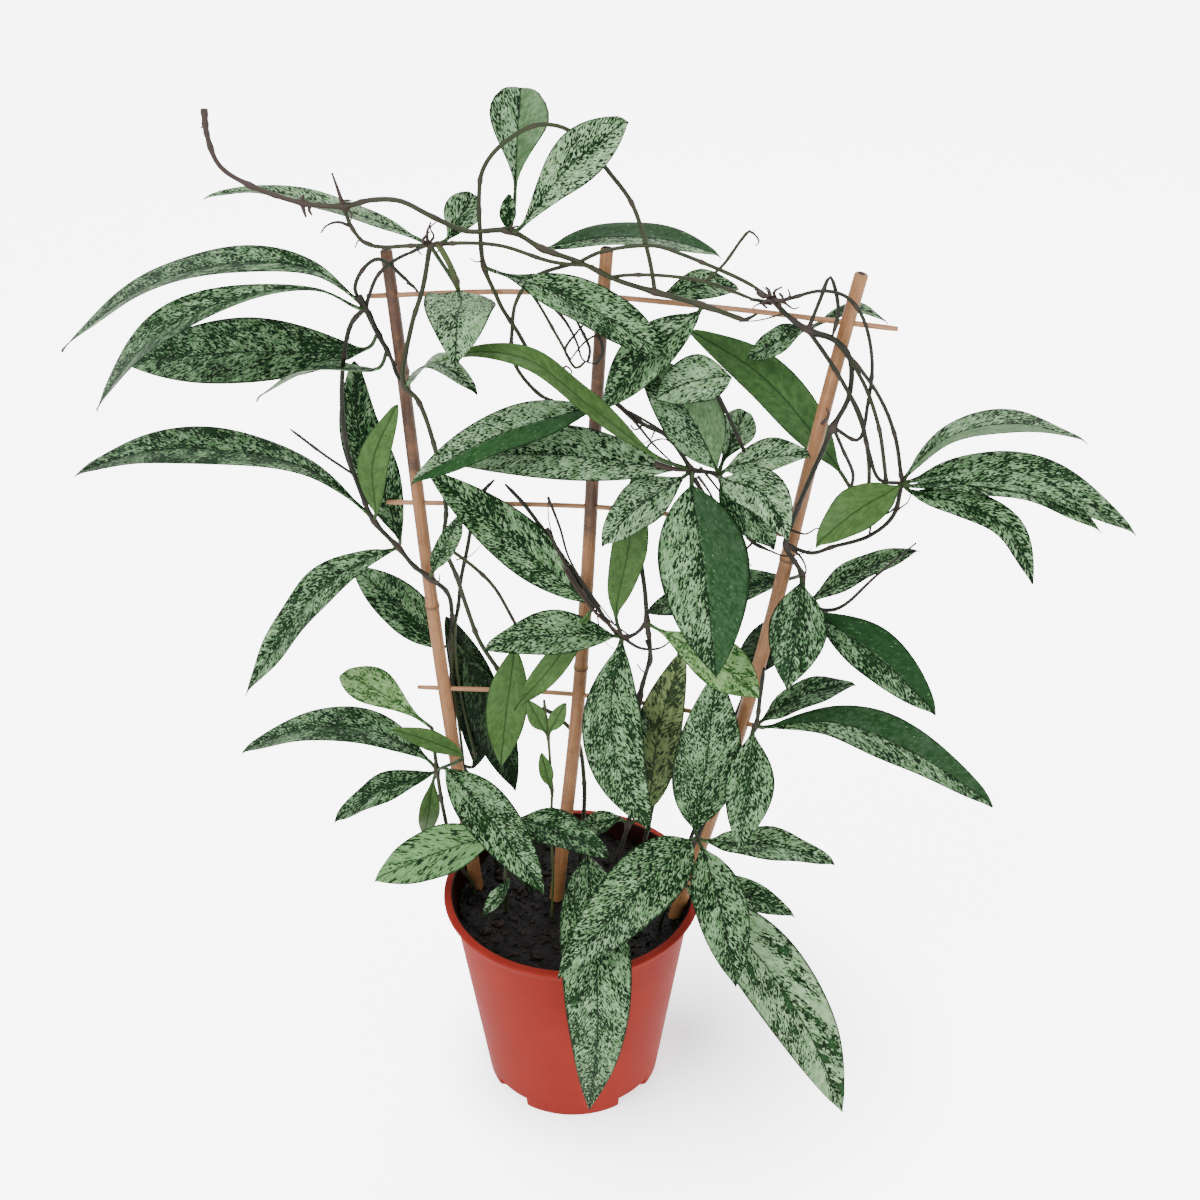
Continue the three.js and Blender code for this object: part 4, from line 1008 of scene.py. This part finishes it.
def leaf(clay, knots, at, look, wide, roll, arch, *places, peak=BLADE_PEAK, plain=0):
    """One stalk and blade, swept in rings from the knot to the tip."""
    blade_start, *through, end = [sight(place) for place in places]
    face = facing(blade_start, end, roll)
    through = through or [blade_start.lerp(end, 0.5) + face * arch * MM]
    places = [knots[at], blade_start, *through, end]
    join = 1 / (len(places) - 1)
    stalk, _ = even_points(places, STALK_STEP, 0, join, least=3)
    rib, rib_reach = finer_tip(*even_points(places, ROW_STEP, join, 1, least=14))
    half = wide / 2 * MM
    seed, phase = random.uniform(0, 900), random.uniform(0, math.tau)
    ripple = random.uniform(0.4, 1.1) * MM * min(1, half / FULL_RIPPLE)
    ripple_turns = random.uniform(1.3, 2.6)
    line = stalk[:-1] + rib
    along = [-1.0] * (len(stalk) - 1) + [reach / rib_reach[-1] for reach in rib_reach]
    rings, blade_rows, grain_rows = [], [], []
    for point, way, s in zip(line, directions(line), along):
        up = (face - way * face.dot(way)).normalized()
        side = up.cross(way)
        opened = clamp(s / OPENS_OVER)
        width = max(STALK_RADIUS * (1 - 0.72 * max(0.0, s)), half * blade_outline(s, peak))
        hook = max(0.0, (s - 1 + HOOK) / HOOK) ** 2
        width *= 1 - 0.4 * hook
        point = point - Vector((0, 0, HOOK_DROP * hook * min(1, half / FULL_HOOK)))
        deep = STALK_RADIUS * (1 - opened) + LEAF_THICK / 2 * opened * (1 - 0.55 * max(0.0, s) ** 3)
        reach_mm = max(0.0, s) * rib_reach[-1] / MM
        ring, blade_row, grain_row = [], [], []
        for a in turns(LEAF_SIDES):
            t = math.cos(a)
            fold = LEAF_FOLD * width * abs(t) ** 1.35 * opened
            wave = ripple * opened * t * abs(t) * math.sin(ripple_turns * math.tau * s + phase)
            groove = GROOVE_DEEP * opened * max(0.0, 1 - abs(t) * GROOVE_NARROW)
            lift = deep * math.sin(a) + fold + wave - (groove if math.sin(a) > 0 else 0.0)
            ring.append(point + side * (width * t) + up * lift)
            blade_row.append((t, max(0.0, s), plain))
            grain_row.append((width * t / MM, reach_mm, seed))
        rings.append(ring)
        blade_rows.append(blade_row)
        grain_rows.append(grain_row)
    stalk_look, top = clay.look(STUFF["leaf_stalk"]), clay.look(LEAVES[look])
    under = top if look in SAME_BELOW else clay.look(LEAVES["underside"])

    def row_look(i, j):
        if i < len(stalk) - 1:
            return stalk_look
        return top if j < LEAF_SIDES // 2 else under

    for i in range(len(stalk)):
        blade_rows[i] = [(*STALK_LOOK, max(0.0, 0.8 - 0.4 * i))] * LEAF_SIDES
    clay.rings(rings, row_look, blade_rows, grain_rows)


# %% [markdown]
# ## Vines
#
# The vines are round and woody, 2 to 3 mm thick, with a swollen joint every few centimetres,
# where leaves or roots once grew. A bevelled curve has one thickness. The ring sweep lets each
# joint swell, lets a free end taper, and stores how knotty the bark is, so the joints also get
# their own colour.

# %% One vine
VINE_STEP = 2.6 * MM
VINE_SLIM = 0.94
VINE_SIDES = 8
# How far each kind of swelling reaches along a vine
KNOT_WIDE, JOINT_WIDE, KNOB_WIDE = 3.6 * MM, 1.5 * MM, 2.6 * MM
ROOT_DEPTH = 40
# The top vine begins at the far left with a dry brown end, which has thick knobs at these places
DRY_START = (204, 109, 10)
DRY_LENGTH = 170 * MM
DRY_KNOBS = [sight(place) for place in (
    (205, 112, 10), (207, 124, 10), (213, 147, 10), (250, 186, 8), (303, 203, 8), (343, 206, 8))]
SOIL_TOP = 135


def root_points(root):
    """Places in and just over the soil, where a stem rises."""
    return [Vector((*root, SOIL_TOP + rise)) * MM for rise in (-ROOT_DEPTH / 2, -8, 5)]


def swelling(distance, width):
    """1 in the middle of a swelling, and less with the distance from it."""
    return math.exp(-(distance / width) ** 2)


def vine(clay, knots, root, thick, along, fresh):
    """One vine through places, named knots and the root, with swellings where it is knotty."""
    places = []
    for place in along:
        if place == "root":
            places.extend(root_points(root))
        else:
            places.append(knots[place] if isinstance(place, str) else sight(place))
    points, lengths = even_points(places, VINE_STEP)
    next_joint, joints_at = random.uniform(12, 30) * MM, []
    while next_joint < lengths[-1]:
        joints_at.append(next_joint)
        next_joint += random.uniform(24, 52) * MM
    radii, knotty = [], []
    dry_length = DRY_LENGTH if along[0] == DRY_START else MM
    for point, reach in zip(points, lengths):
        dry = max(0.0, 1 - reach / dry_length)
        near = max((swelling((point - knot).length, KNOT_WIDE) for knot in knots.values()),
                   default=0)
        ring = max((swelling(reach - at, JOINT_WIDE) for at in joints_at), default=0)
        free_end = min(1.0, 0.55 + (lengths[-1] - reach) / (12 * MM))
        uneven = 1 + 0.07 * noise.noise(point * 180)
        slim = thick / 2 * MM * VINE_SLIM * free_end * uneven
        knob = max(swelling((point - spot).length, KNOB_WIDE) for spot in DRY_KNOBS)
        radii.append(slim * (1 + 0.6 * near + 0.35 * ring + 0.6 * knob))
        knotty.append(min(1.0, max(0.75 * near + 0.8 * ring, knob, 1.4 * dry)))
    tube(clay, points, lengths, radii, STUFF["vine_bark"], [fresh] * len(points), knotty,
         VINE_SIDES)


# %% [markdown]
# ## Small living parts
#
# Close up, the vines carry short root hairs and dry bits of old flower stalk. They are thin
# tapered tubes that start inside the vine and end free, so none of them hangs in the air. Where a
# vine of one stem reaches the next one, the bark runs on as a bridge over the small gap in the
# solids.

# %% One hair or twig
TWIG_STEP = 2.2 * MM
TWIG_SIDES = 6
TWIG_END = 0.4


def twig(clay, thick, knotty, places):
    """A thin tapered twig through places that are given by pixel and lift."""
    points, lengths = even_points([sight(place) for place in places], TWIG_STEP, least=5)
    count = len(points)
    radii = [thick / 2 * MM * (1 - (1 - TWIG_END) * i / (count - 1)) for i in range(count)]
    tube(clay, points, lengths, radii, STUFF["vine_bark"], [0.0] * count, [knotty] * count,
         TWIG_SIDES)


# Thickness in millimetres, how knotty the twig looks, and its places
TWIGS = {
    "crown_stem": [
        (2.9, 0.8, (343, 205, 8), (338, 190, 9), (332, 173, 11)),
        (2.2, 0.6, (350, 226, 9), (338, 222, 12), (326, 226, 14), (321, 233, 15)),
        (3.2, 0.9, (302, 203, 8), (304, 211, 10), (306, 217, 12)),
        (2.8, 0.9, (305, 203, 8), (302, 198, 9), (304, 195, 9)),
        (2.8, 0.9, (311, 204, 8), (309, 210, 9), (312, 215, 10)),
        (1.6, 0.7, (372, 244, 10), (359, 240, 11), (355, 248, 12)),
        (2.0, 0.9, (207, 122, 10), (203, 126, 9), (201, 128, 9)),
        (1.8, 0.9, (345, 208, 8), (352, 214, 11), (350, 222, 12)),
        (1.8, 0.9, (340, 206, 8), (346, 200, 11), (352, 201, 12)),
        (2.2, 0.9, (428, 243, 10), (427, 233, 11), (431, 222, 12)),
        (1.3, 0.4, (757, 237, 9), (759, 242, 9), (755, 246, 9)),
        (1.2, 0.5, (484, 260, 6), (476, 262, 8), (470, 258, 10)),
        (1.6, 0.9, (560, 374, 8), (566, 366, 9), (572, 372, 10), (566, 380, 10)),
        (2.4, 0.5, (550, 303, 6), (566, 322, 7), (577, 343, 9), (583, 360, 10), (596, 364, 8)),
        (2.2, 0.3, (596, 364, 8), (603, 352, 6), (597, 336, 5), (585, 342, 9), (570, 360, 12)),
        (2.0, 0.3, (570, 360, 12), (565, 350, 10), (578, 331, 7), (592, 316, 4)),
        (1.8, 0.9, (428, 244, 9), (434, 236, 12), (430, 228, 14), (436, 222, 13)),
        (2.6, 0.9, (426, 246, 9), (423, 240, 13), (429, 232, 15)),
        (2.0, 0.9, (430, 246, 10), (439, 242, 13), (443, 247, 14), (437, 252, 13)),
        (1.6, 0.9, (424, 246, 10), (418, 250, 12), (422, 255, 13)),
        (1.8, 0.8, (510, 231, 10), (517, 226, 13), (522, 229, 13)),
    ],
    "right_stem": [
        (3.2, 1.0, (786, 302, 8), (771, 298, 8), (760, 290, 7)),
        (2.6, 1.0, (780, 306, 7), (774, 292, 10), (782, 287, 12)),
        (1.8, 1.0, (772, 304, 8), (758, 304, 8), (752, 309, 9)),
        (1.6, 1.0, (785, 303, 8), (794, 309, 11), (799, 307, 12)),
        (1.4, 0.8, (770, 302, 8), (768, 292, 10), (763, 287, 11)),
        (1.3, 0.5, (786, 313, 8), (760, 320, 7), (738, 322, 6)),
        (3.4, 0.7, (768, 296, 8), (776, 300, 11), (784, 299, 12), (779, 293, 11)),
        (3.0, 0.7, (758, 292, 8), (764, 297, 11), (771, 293, 12), (766, 287, 10)),
        (2.6, 0.7, (776, 304, 9), (768, 300, 13), (762, 303, 12), (767, 308, 10)),
        (2.0, 0.7, (784, 300, 9), (790, 296, 11), (788, 289, 11)),
        (2.2, 0.9, (822, 424, 13), (829, 414, 14), (826, 408, 14)),
        (2.8, 0.3, (806, 608, -7), (836, 609, -7), (876, 576, -3), (916, 543, 2)),
        (1.8, 0.5, (902, 485, 7), (897, 505, 8), (885, 514, 9), (879, 503, 10)),
        (1.6, 0.6, (893, 516, 7), (900, 508, 10), (908, 502, 11), (911, 494, 10)),
        (1.5, 0.5, (869, 536, 8), (872, 524, 10), (880, 516, 11)),
        (1.8, 0.4, (786, 545, 10), (800, 556, 12), (806, 570, 10), (800, 584, 8)),
        (1.6, 0.4, (790, 530, 11), (806, 534, 13), (818, 528, 13), (829, 534, 12)),
        (1.3, 0.4, (768, 550, 8), (785, 556, 9), (806, 552, 10), (812, 548, 10)),
    ],
    "left_stem": [
        (5.4, 0.1, (358, 296, 8), (364, 306, 8), (370, 317, 8), (376, 330, 7)),
        (4.4, 0.1, (368, 312, 7), (376, 330, 6), (386, 349, 7), (396, 366, 8)),
        (1.0, 0.3, (353, 324, 6), (349, 338, 7), (354, 350, 7)),
        (1.6, 0.8, (430, 578, 9), (438, 583, 13), (440, 574, 15)),
        (1.1, 0.4, (456, 560, -9), (470, 556, -8), (481, 545, -7)),
    ],
    "middle_stem": [
        (3.6, 0.9, (556, 556, 10), (574, 584, 13), (596, 613, 14), (624, 637, 13)),
        (2.6, 0.4, (547, 528, 8), (562, 558, 11), (584, 594, 15), (604, 616, 15), (630, 636, 11)),
        (2.0, 0.4, (548, 497, 7), (560, 528, 9), (569, 558, 12), (590, 592, 14), (616, 626, 14)),
        (1.2, 0.8, (540, 582, 15), (552, 588, 15), (561, 596, 14)),
        (2.4, 0.3, (622, 637, 9), (640, 648, 12), (660, 648, 12), (676, 636, 9)),
        (2.0, 0.3, (646, 640, 9), (652, 660, 11), (644, 672, 12), (637, 664, 11)),
        (1.2, 0.4, (632, 510, -6), (634, 480, -8), (632, 424, -10)),
        (1.2, 0.5, (556, 547, 8), (549, 521, 8), (548, 497, 7)),
        (1.0, 0.4, (595, 604, 11), (604, 640, 10), (622, 655, 8)),
    ],
    "heart_stem": [
        (2.2, 0.5, (612, 400, 12), (634, 421, 14), (655, 446, 13), (676, 466, 12)),
        (2.0, 0.4, (621, 408, 12), (644, 420, 13), (667, 435, 13), (684, 455, 12),
         (692, 468, 11)),
        (1.4, 0.4, (646, 449, 13), (652, 442, 14), (664, 439, 14), (675, 446, 13),
         (681, 455, 12)),
        (4.0, 1.0, (655, 464, 19), (674, 469, 15), (692, 471, 11)),
        (2.0, 0.3, (700, 467, 12), (714, 484, 14), (728, 503, 12)),
        (3.2, 0.6, (694, 478, 14), (702, 491, 17), (711, 504, 14)),
        (2.0, 0.9, (698, 476, 14), (708, 490, 18), (715, 502, 15)),
        (1.6, 0.6, (722, 503, 12), (738, 508, 16), (755, 520, 14), (772, 535, 12)),
        (1.6, 0.3, (726, 506, 12), (745, 522, 15), (764, 524, 13), (781, 536, 11)),
        (1.8, 0.5, (728, 504, 8), (741, 494, 12), (750, 500, 14), (748, 512, 13), (736, 516, 13)),
        (1.6, 0.8, (643, 424, 12), (636, 430, 13), (630, 425, 13)),
        (1.2, 0.7, (655, 430, 12), (650, 440, 12), (642, 444, 13)),
        (1.6, 0.8, (753, 542, 7), (742, 556, 8), (752, 566, 8)),
    ],
}
# Thickness in millimetres, how green the vine is, and its places
BRIDGES = {
    "crown_stem": [
        (2.4, 0.1, (755, 288, 6), (766, 296, 7), (775, 303, 7)),
        (2.2, 0.1, (750, 299, 6), (762, 301, 6), (775, 303, 6)),
        (2.4, 0.1, (739, 319, 8), (744, 320, 8), (757, 314, 7)),
        (1.8, 0.1, (588, 361, 9), (590, 350, 8), (584, 335, 7), (575, 318, 7)),
        (3.8, 0.8, (437, 243, 11), (444, 254, 15), (453, 272, 18), (459, 291, 21)),
    ],
    "right_stem": [
        (2.4, 0.4, (809, 332, 9), (830, 362, 12), (848, 392, 13), (862, 425, 13), (868, 455, 12),
         (869, 482, 10), (864, 512, 2)),
        (2.4, 0.4, (812, 334, 8), (834, 341, 9), (861, 378, 10), (878, 424, 10), (884, 462, 9),
         (886, 490, 6), (882, 508, 2)),
    ],
    "left_stem": [
        (2.4, 0.1, (407, 282, 8), (414, 287, 7), (418, 292, 7)),
        (2.2, 0.1, (410, 253, 9), (420, 248, 10), (430, 245, 10)),
        (2.4, 0.1, (392, 360, 8), (397, 375, 9), (404, 385, 11)),
        (2.0, 0.6, (452, 632, -7), (453, 680, -8), (459, 725, -9), (464, 765, -9)),
        (2.0, 0.6, (456, 615, -8), (455, 650, -7), (462, 700, -8), (476, 760, -9)),
    ],
}

# %% Grow every stem
random.seed(11)
# How green the bark is, from 0 to 1
FRESH = {"young_shoot": 0.8, "front_shoot": 0.5, "low_left_stem": 0.4, "crown_stem": 0.45}
USUAL_FRESH = 0.15
for stem_name, stem in STEMS.items():
    clay = Clay()
    knots = {name: sight(place) for name, place in stem["knots"].items()}
    for thick, *along in stem["vines"]:
        vine(clay, knots, stem["root"], thick, along, FRESH.get(stem_name, USUAL_FRESH))
    for thick, fresh, *places in BRIDGES.get(stem_name, []):
        vine(clay, {}, None, thick, places, fresh)
    for thick, knotty, *places in TWIGS.get(stem_name, []):
        twig(clay, thick, knotty, places)
    for traits in stem["leaves"].values():
        odd = traits[-1] if isinstance(traits[-1], dict) else {}
        leaf(clay, knots, *(trait for trait in traits if trait is not odd), **odd)
    clay.piece(stem_name + "_grown", [stem_name])

# %% [markdown]
# ## Trellis
#
# Three bamboo canes slant apart like a fan, and three thin rungs run through them. Split cane has
# a slight swelling with a dark line at each joint, and a sawn end. A plain cylinder would look
# like a dowel, so each cane is swept in rings that bow, swell at the joints and get a pith at the
# top.

# %% Stakes
STAKES = {
    "stake_left": {"foot": (-59.5, 70), "top": (-98.6, 577), "thick": (9.4, 7.0), "bow": -3,
                   "joints": (0.22, 0.56, 0.86), "stained": ((0.73, 1.1, 0.9), (0.0, 0.12, 0.4))},
    "stake_middle": {"foot": (-20, 34), "top": (22.3, 587), "thick": (9.6, 7.2), "bow": 5,
                     "joints": (0.3, 0.52, 0.79), "stained": ((0.68, 0.97, 0.9), (0.3, 0.36, 0.5))},
    "stake_right": {"foot": (46, 34), "top": (153.4, 583), "thick": (9.8, 7.4), "bow": 8,
                    "joints": (0.36, 0.69), "stained": ((0.0, 0.12, 0.2), (0.66, 0.7, 0.4))},
}
STAKE_SIDES = 20
STAKE_ROWS = 90
STAIN_SOFT = 0.03
JOINT_LEVELS = (-3, -1.5, -0.7, 0, 0.7, 1.5, 3)
# Rings of the pith at the sawn top: share of the radius, and millimetres below the top
PITH = ((0.55, 0.0), (0.42, 0.5), (0.38, 2.5), (0.1, 3.0))


def stake_stain(stained, s):
    """How stained a stake is at s along it, with soft ends to each stained stretch."""
    return max(share * clamp(min((s - low) / STAIN_SOFT + 0.5, (high - s) / STAIN_SOFT + 0.5))
               for low, high, share in stained)


def make_stake(name, foot, top, thick, bow, joints, stained):
    start, end = on_rack(*foot), on_rack(*top)
    axis = end - start
    length, axis = axis.length, axis.normalized()
    turn = Vector((0, 0, 1)).rotation_difference(axis)
    levels = [0.0, 1 * MM] + [length * i / STAKE_ROWS for i in range(1, STAKE_ROWS)]
    for s in joints:
        levels += [s * length + shift * MM for shift in JOINT_LEVELS]
    levels = sorted(levels) + [length - 0.8 * MM, length]
    rings, blade, grain_rows = [], [], []
    seed = random.uniform(0, 90)

    def ring_at(height, radius, level_stain, joint):
        ring, grain_row = [], []
        s = height / length
        for a in turns(STAKE_SIDES):
            uneven = 1 + 0.03 * noise.noise(Vector((math.cos(a), math.sin(a), height * 14 + seed)))
            spot = Vector((radius * uneven * math.cos(a), radius * uneven * math.sin(a), height))
            spot.x += bow * MM * math.sin(math.pi * s) ** 2
            ring.append(turn @ spot + start)
            grain_row.append((a * radius / MM, height / MM, seed + math.cos(a)))
        rings.append(ring)
        blade.append([(level_stain, s, joint)] * STAKE_SIDES)
        grain_rows.append(grain_row)

    for height in levels:
        s = height / length
        radius = (thick[0] + (thick[1] - thick[0]) * s) / 2 * MM
        near = max(swelling(height - at * length, 1.6 * MM) for at in joints)
        line = max(swelling(height - at * length, 0.8 * MM) for at in joints)
        radius += 0.55 * MM * near
        if height < 1 * MM or height > length - 0.5 * MM:
            radius -= 0.7 * MM
        ring_at(height, radius, stake_stain(stained, s), 0.85 * line)
    for share, sunk in PITH:
        ring_at(length - sunk * MM, thick[1] / 2 * MM * share, 1.0, 0.6)
    clay = Clay()
    clay.rings(rings, clay.look(STUFF["bamboo"]), blade, grain_rows)
    clay.piece(name + "_cane", [name])


for stake_name, values in STAKES.items():
    make_stake(stake_name, **values)

# %% Rungs
RUNG_RADIUS = 1.5 * MM
RUNG_STEP = 5 * MM
RUNG_SIDES = 12
RUNGS = {
    "rung_top": [(367, 296, 0), (527, 292, 0), (724, 308, 0), (898, 329, 0)],
    "rung_middle": [(387, 502, 0), (611, 508, 0), (724, 523, 0), (800, 538, 0)],
    "rung_bottom": [(418, 687, 0), (582, 695, 0), (700, 713, 0), (765, 728, 0)],
}
for rung_name, places in RUNGS.items():
    points, lengths = even_points([sight(place) for place in places], RUNG_STEP)
    radii = [RUNG_RADIUS * (1 + 0.06 * noise.noise(point * 60)) for point in points]
    radii[0] = radii[-1] = RUNG_RADIUS * 0.85
    clay = Clay()
    stains = [0.35 * swelling(reach % 0.11 - 0.05, 0.008) for reach in lengths]
    tube(clay, points, lengths, radii, STUFF["rung_wood"], stains, [0.0] * len(points), RUNG_SIDES)
    clay.piece(rung_name + "_rod", [rung_name])

# %% [markdown]
# ## Pot
#
# The pot is a moulded grower pot: a thin tapered wall, a rolled rim that stands out a few
# millimetres, and four recesses in the edge of the base for the water. A lathe with a boolean
# would need a clean-up of its cut edges. We turn the profile in rings and draw the points at the
# recesses inward instead.

# %% Turn the pot
POT_HEIGHT = 150
BASE_RADIUS = 59
WALL_SLOPE = 0.14
WALL = 1.5
# Where the recesses are, in degrees, half of one with its flank, and its height and inner radius
RECESS = {"angles": (45, 135, 225, 315), "half": 14, "flank": 7, "height": 8, "inner": 52}
POT_STEP = 2
SHARP_ABOVE = 38


def wall_radius(height):
    """The radius of the outside of the wall, in millimetres as the height is."""
    return BASE_RADIUS + WALL_SLOPE * height


def on_wall(heights, inset=0):
    return [(wall_radius(height) - inset, height) for height in heights]


RIM = wall_radius(POT_HEIGHT)
# Radius and height of each ring, up the outside and down the inside
OUTSIDE = [
    (0.5, 0), (30, 0), (52, 0), (58.3, 0), (58.9, 0.4),
    *on_wall((1.2, 4, 7.99, 8.01, 9, 20, 60, 100, 130, 139, 140.4)),
    *((RIM + out, height) for out, height in (
        (0.3, 141.2), (0.9, 141.8), (1.6, 143), (1.9, 145.4), (2.5, 146.6), (3.8, 147.2),
        (4.6, 147.6), (5.0, 148.3), (4.9, 149.1), (4.4, 149.7), (3.4, 150.0))),
]
INSIDE = [
    (RIM + 0.2, 150.0), (RIM - 0.9, 149.7), (RIM - 1.4, 148.9),
    *on_wall((140, 110, 60, 9.51, 9.49, 4, 2), WALL), (30, 2), (0.5, 2),
]


def recessed(angle):
    """How far the wall is drawn into a recess at this angle, from 0 to 1, with soft flanks."""
    nearest = min(abs((angle - middle + 180) % 360 - 180) for middle in RECESS["angles"])
    share = clamp((RECESS["half"] - nearest) / RECESS["flank"])
    return share * share * (3 - 2 * share)


def turned_ring(radius, height, inner, roof):
    ring = []
    for angle in range(0, 360, POT_STEP):
        drawn = recessed(angle) if height < roof else 0.0
        reach = radius - max(0.0, radius - inner) * drawn
        a = math.radians(angle)
        ring.append(Vector((reach * math.cos(a), reach * math.sin(a), height)) * MM)
    return ring


pot_rings = [turned_ring(r, z, RECESS["inner"], RECESS["height"]) for r, z in OUTSIDE]
pot_rings += [turned_ring(r, z, RECESS["inner"] - WALL, RECESS["height"] + WALL) for r, z in INSIDE]
clay = Clay()
pot_look = clay.look(STUFF["terracotta_plastic"])
# The inside of the wall, from the rim's inner edge down, is nearly black: soil stain and painted
# shade inside the pot.
stain_and_shade_look = clay.look(STUFF["soil_stain_and_shade_plastic"])
clay.rings(pot_rings, lambda i, j: pot_look if i < len(OUTSIDE) else stain_and_shade_look)
clay.piece("pot_moulded", ["pot"], auto_smooth=SHARP_ABOVE)

# %% [markdown]
# ## Soil
#
# Peat soil is nearly black, lumpy and full of small crumbs of bark. A bumped flat disc looks
# painted, so the top is a grid of points lifted by noise, with a few hundred real crumbs pressed
# into it.

# %% Lumpy filling
SOIL_GAP = 0.3
SOIL_BOTTOM = 12
SOIL_ROWS = 44
SOIL_SPOKES = 150


def soil_height(x, y):
    """Height of the soil in millimetres at a place given in millimetres."""
    lump = math.sin(x * 0.31 + 1) * math.cos(y * 0.27) * 1.2
    crumbly = (1.5 * noise.noise(Vector((x, y, 3)) * 0.12)
               + 0.9 * noise.noise(Vector((x, y, 8)) * 0.35))
    return SOIL_TOP + 1.2 + lump + crumbly + 0.5 * noise.noise(Vector((x, y, 5)) * 0.8)


def soil_ring(radius, height=None):
    ring = []
    for a in turns(SOIL_SPOKES):
        x, y = radius * math.cos(a), radius * math.sin(a)
        ring.append(Vector((x, y, soil_height(x, y) if height is None else height)) * MM)
    return ring


def soil_wide(height):
    return wall_radius(height) - WALL - SOIL_GAP


soil_rings = [soil_ring(0.5, SOIL_BOTTOM), soil_ring(45, SOIL_BOTTOM)]
soil_rings += [soil_ring(soil_wide(z), z) for z in (SOIL_BOTTOM, 50, 100, 130)]
soil_rings += [soil_ring(soil_wide(SOIL_TOP) * (1 - i / SOIL_ROWS)) for i in range(SOIL_ROWS)]
clay = Clay()
soil_look, crumb_look = clay.look(STUFF["potting_soil"]), clay.look(STUFF["soil_crumbs"])
clay.rings(soil_rings, soil_look)

# %% Crumbs
CRUMBS = 620
CRUMB_SIDES = 6
# Height and share of the radius of each ring of a crumb
CRUMB_RINGS = ((-0.8, 0.5), (-0.3, 0.95), (0.35, 0.9), (0.75, 0.45))
random.seed(5)
for _ in range(CRUMBS):
    reach = soil_wide(SOIL_TOP) * 0.96 * math.sqrt(random.random())
    a = random.uniform(0, math.tau)
    x, y = reach * math.cos(a), reach * math.sin(a)
    size = random.uniform(0.7, 1.6) if random.random() < 0.8 else random.uniform(1.6, 3.0)
    middle = Vector((x, y, soil_height(x, y) + size * 0.15)) * MM
    spin = Matrix.Rotation(random.uniform(0, math.tau), 3, "Z") @ Matrix.Rotation(
        random.uniform(-0.6, 0.6), 3, "X")
    long, broad = random.uniform(1.0, 1.9), random.uniform(0.6, 1.0)
    rings = []
    for level, share in CRUMB_RINGS:
        ring = []
        for b in turns(CRUMB_SIDES):
            rough = random.uniform(0.8, 1.15) * share
            spot = Vector((long * rough * math.cos(b), broad * rough * math.sin(b), level * 0.7))
            ring.append(middle + spin @ spot * size * MM)
        rings.append(ring)
    clay.rings(rings, crumb_look if random.random() < 0.55 else soil_look)
clay.piece("soil_filling", ["soil"])
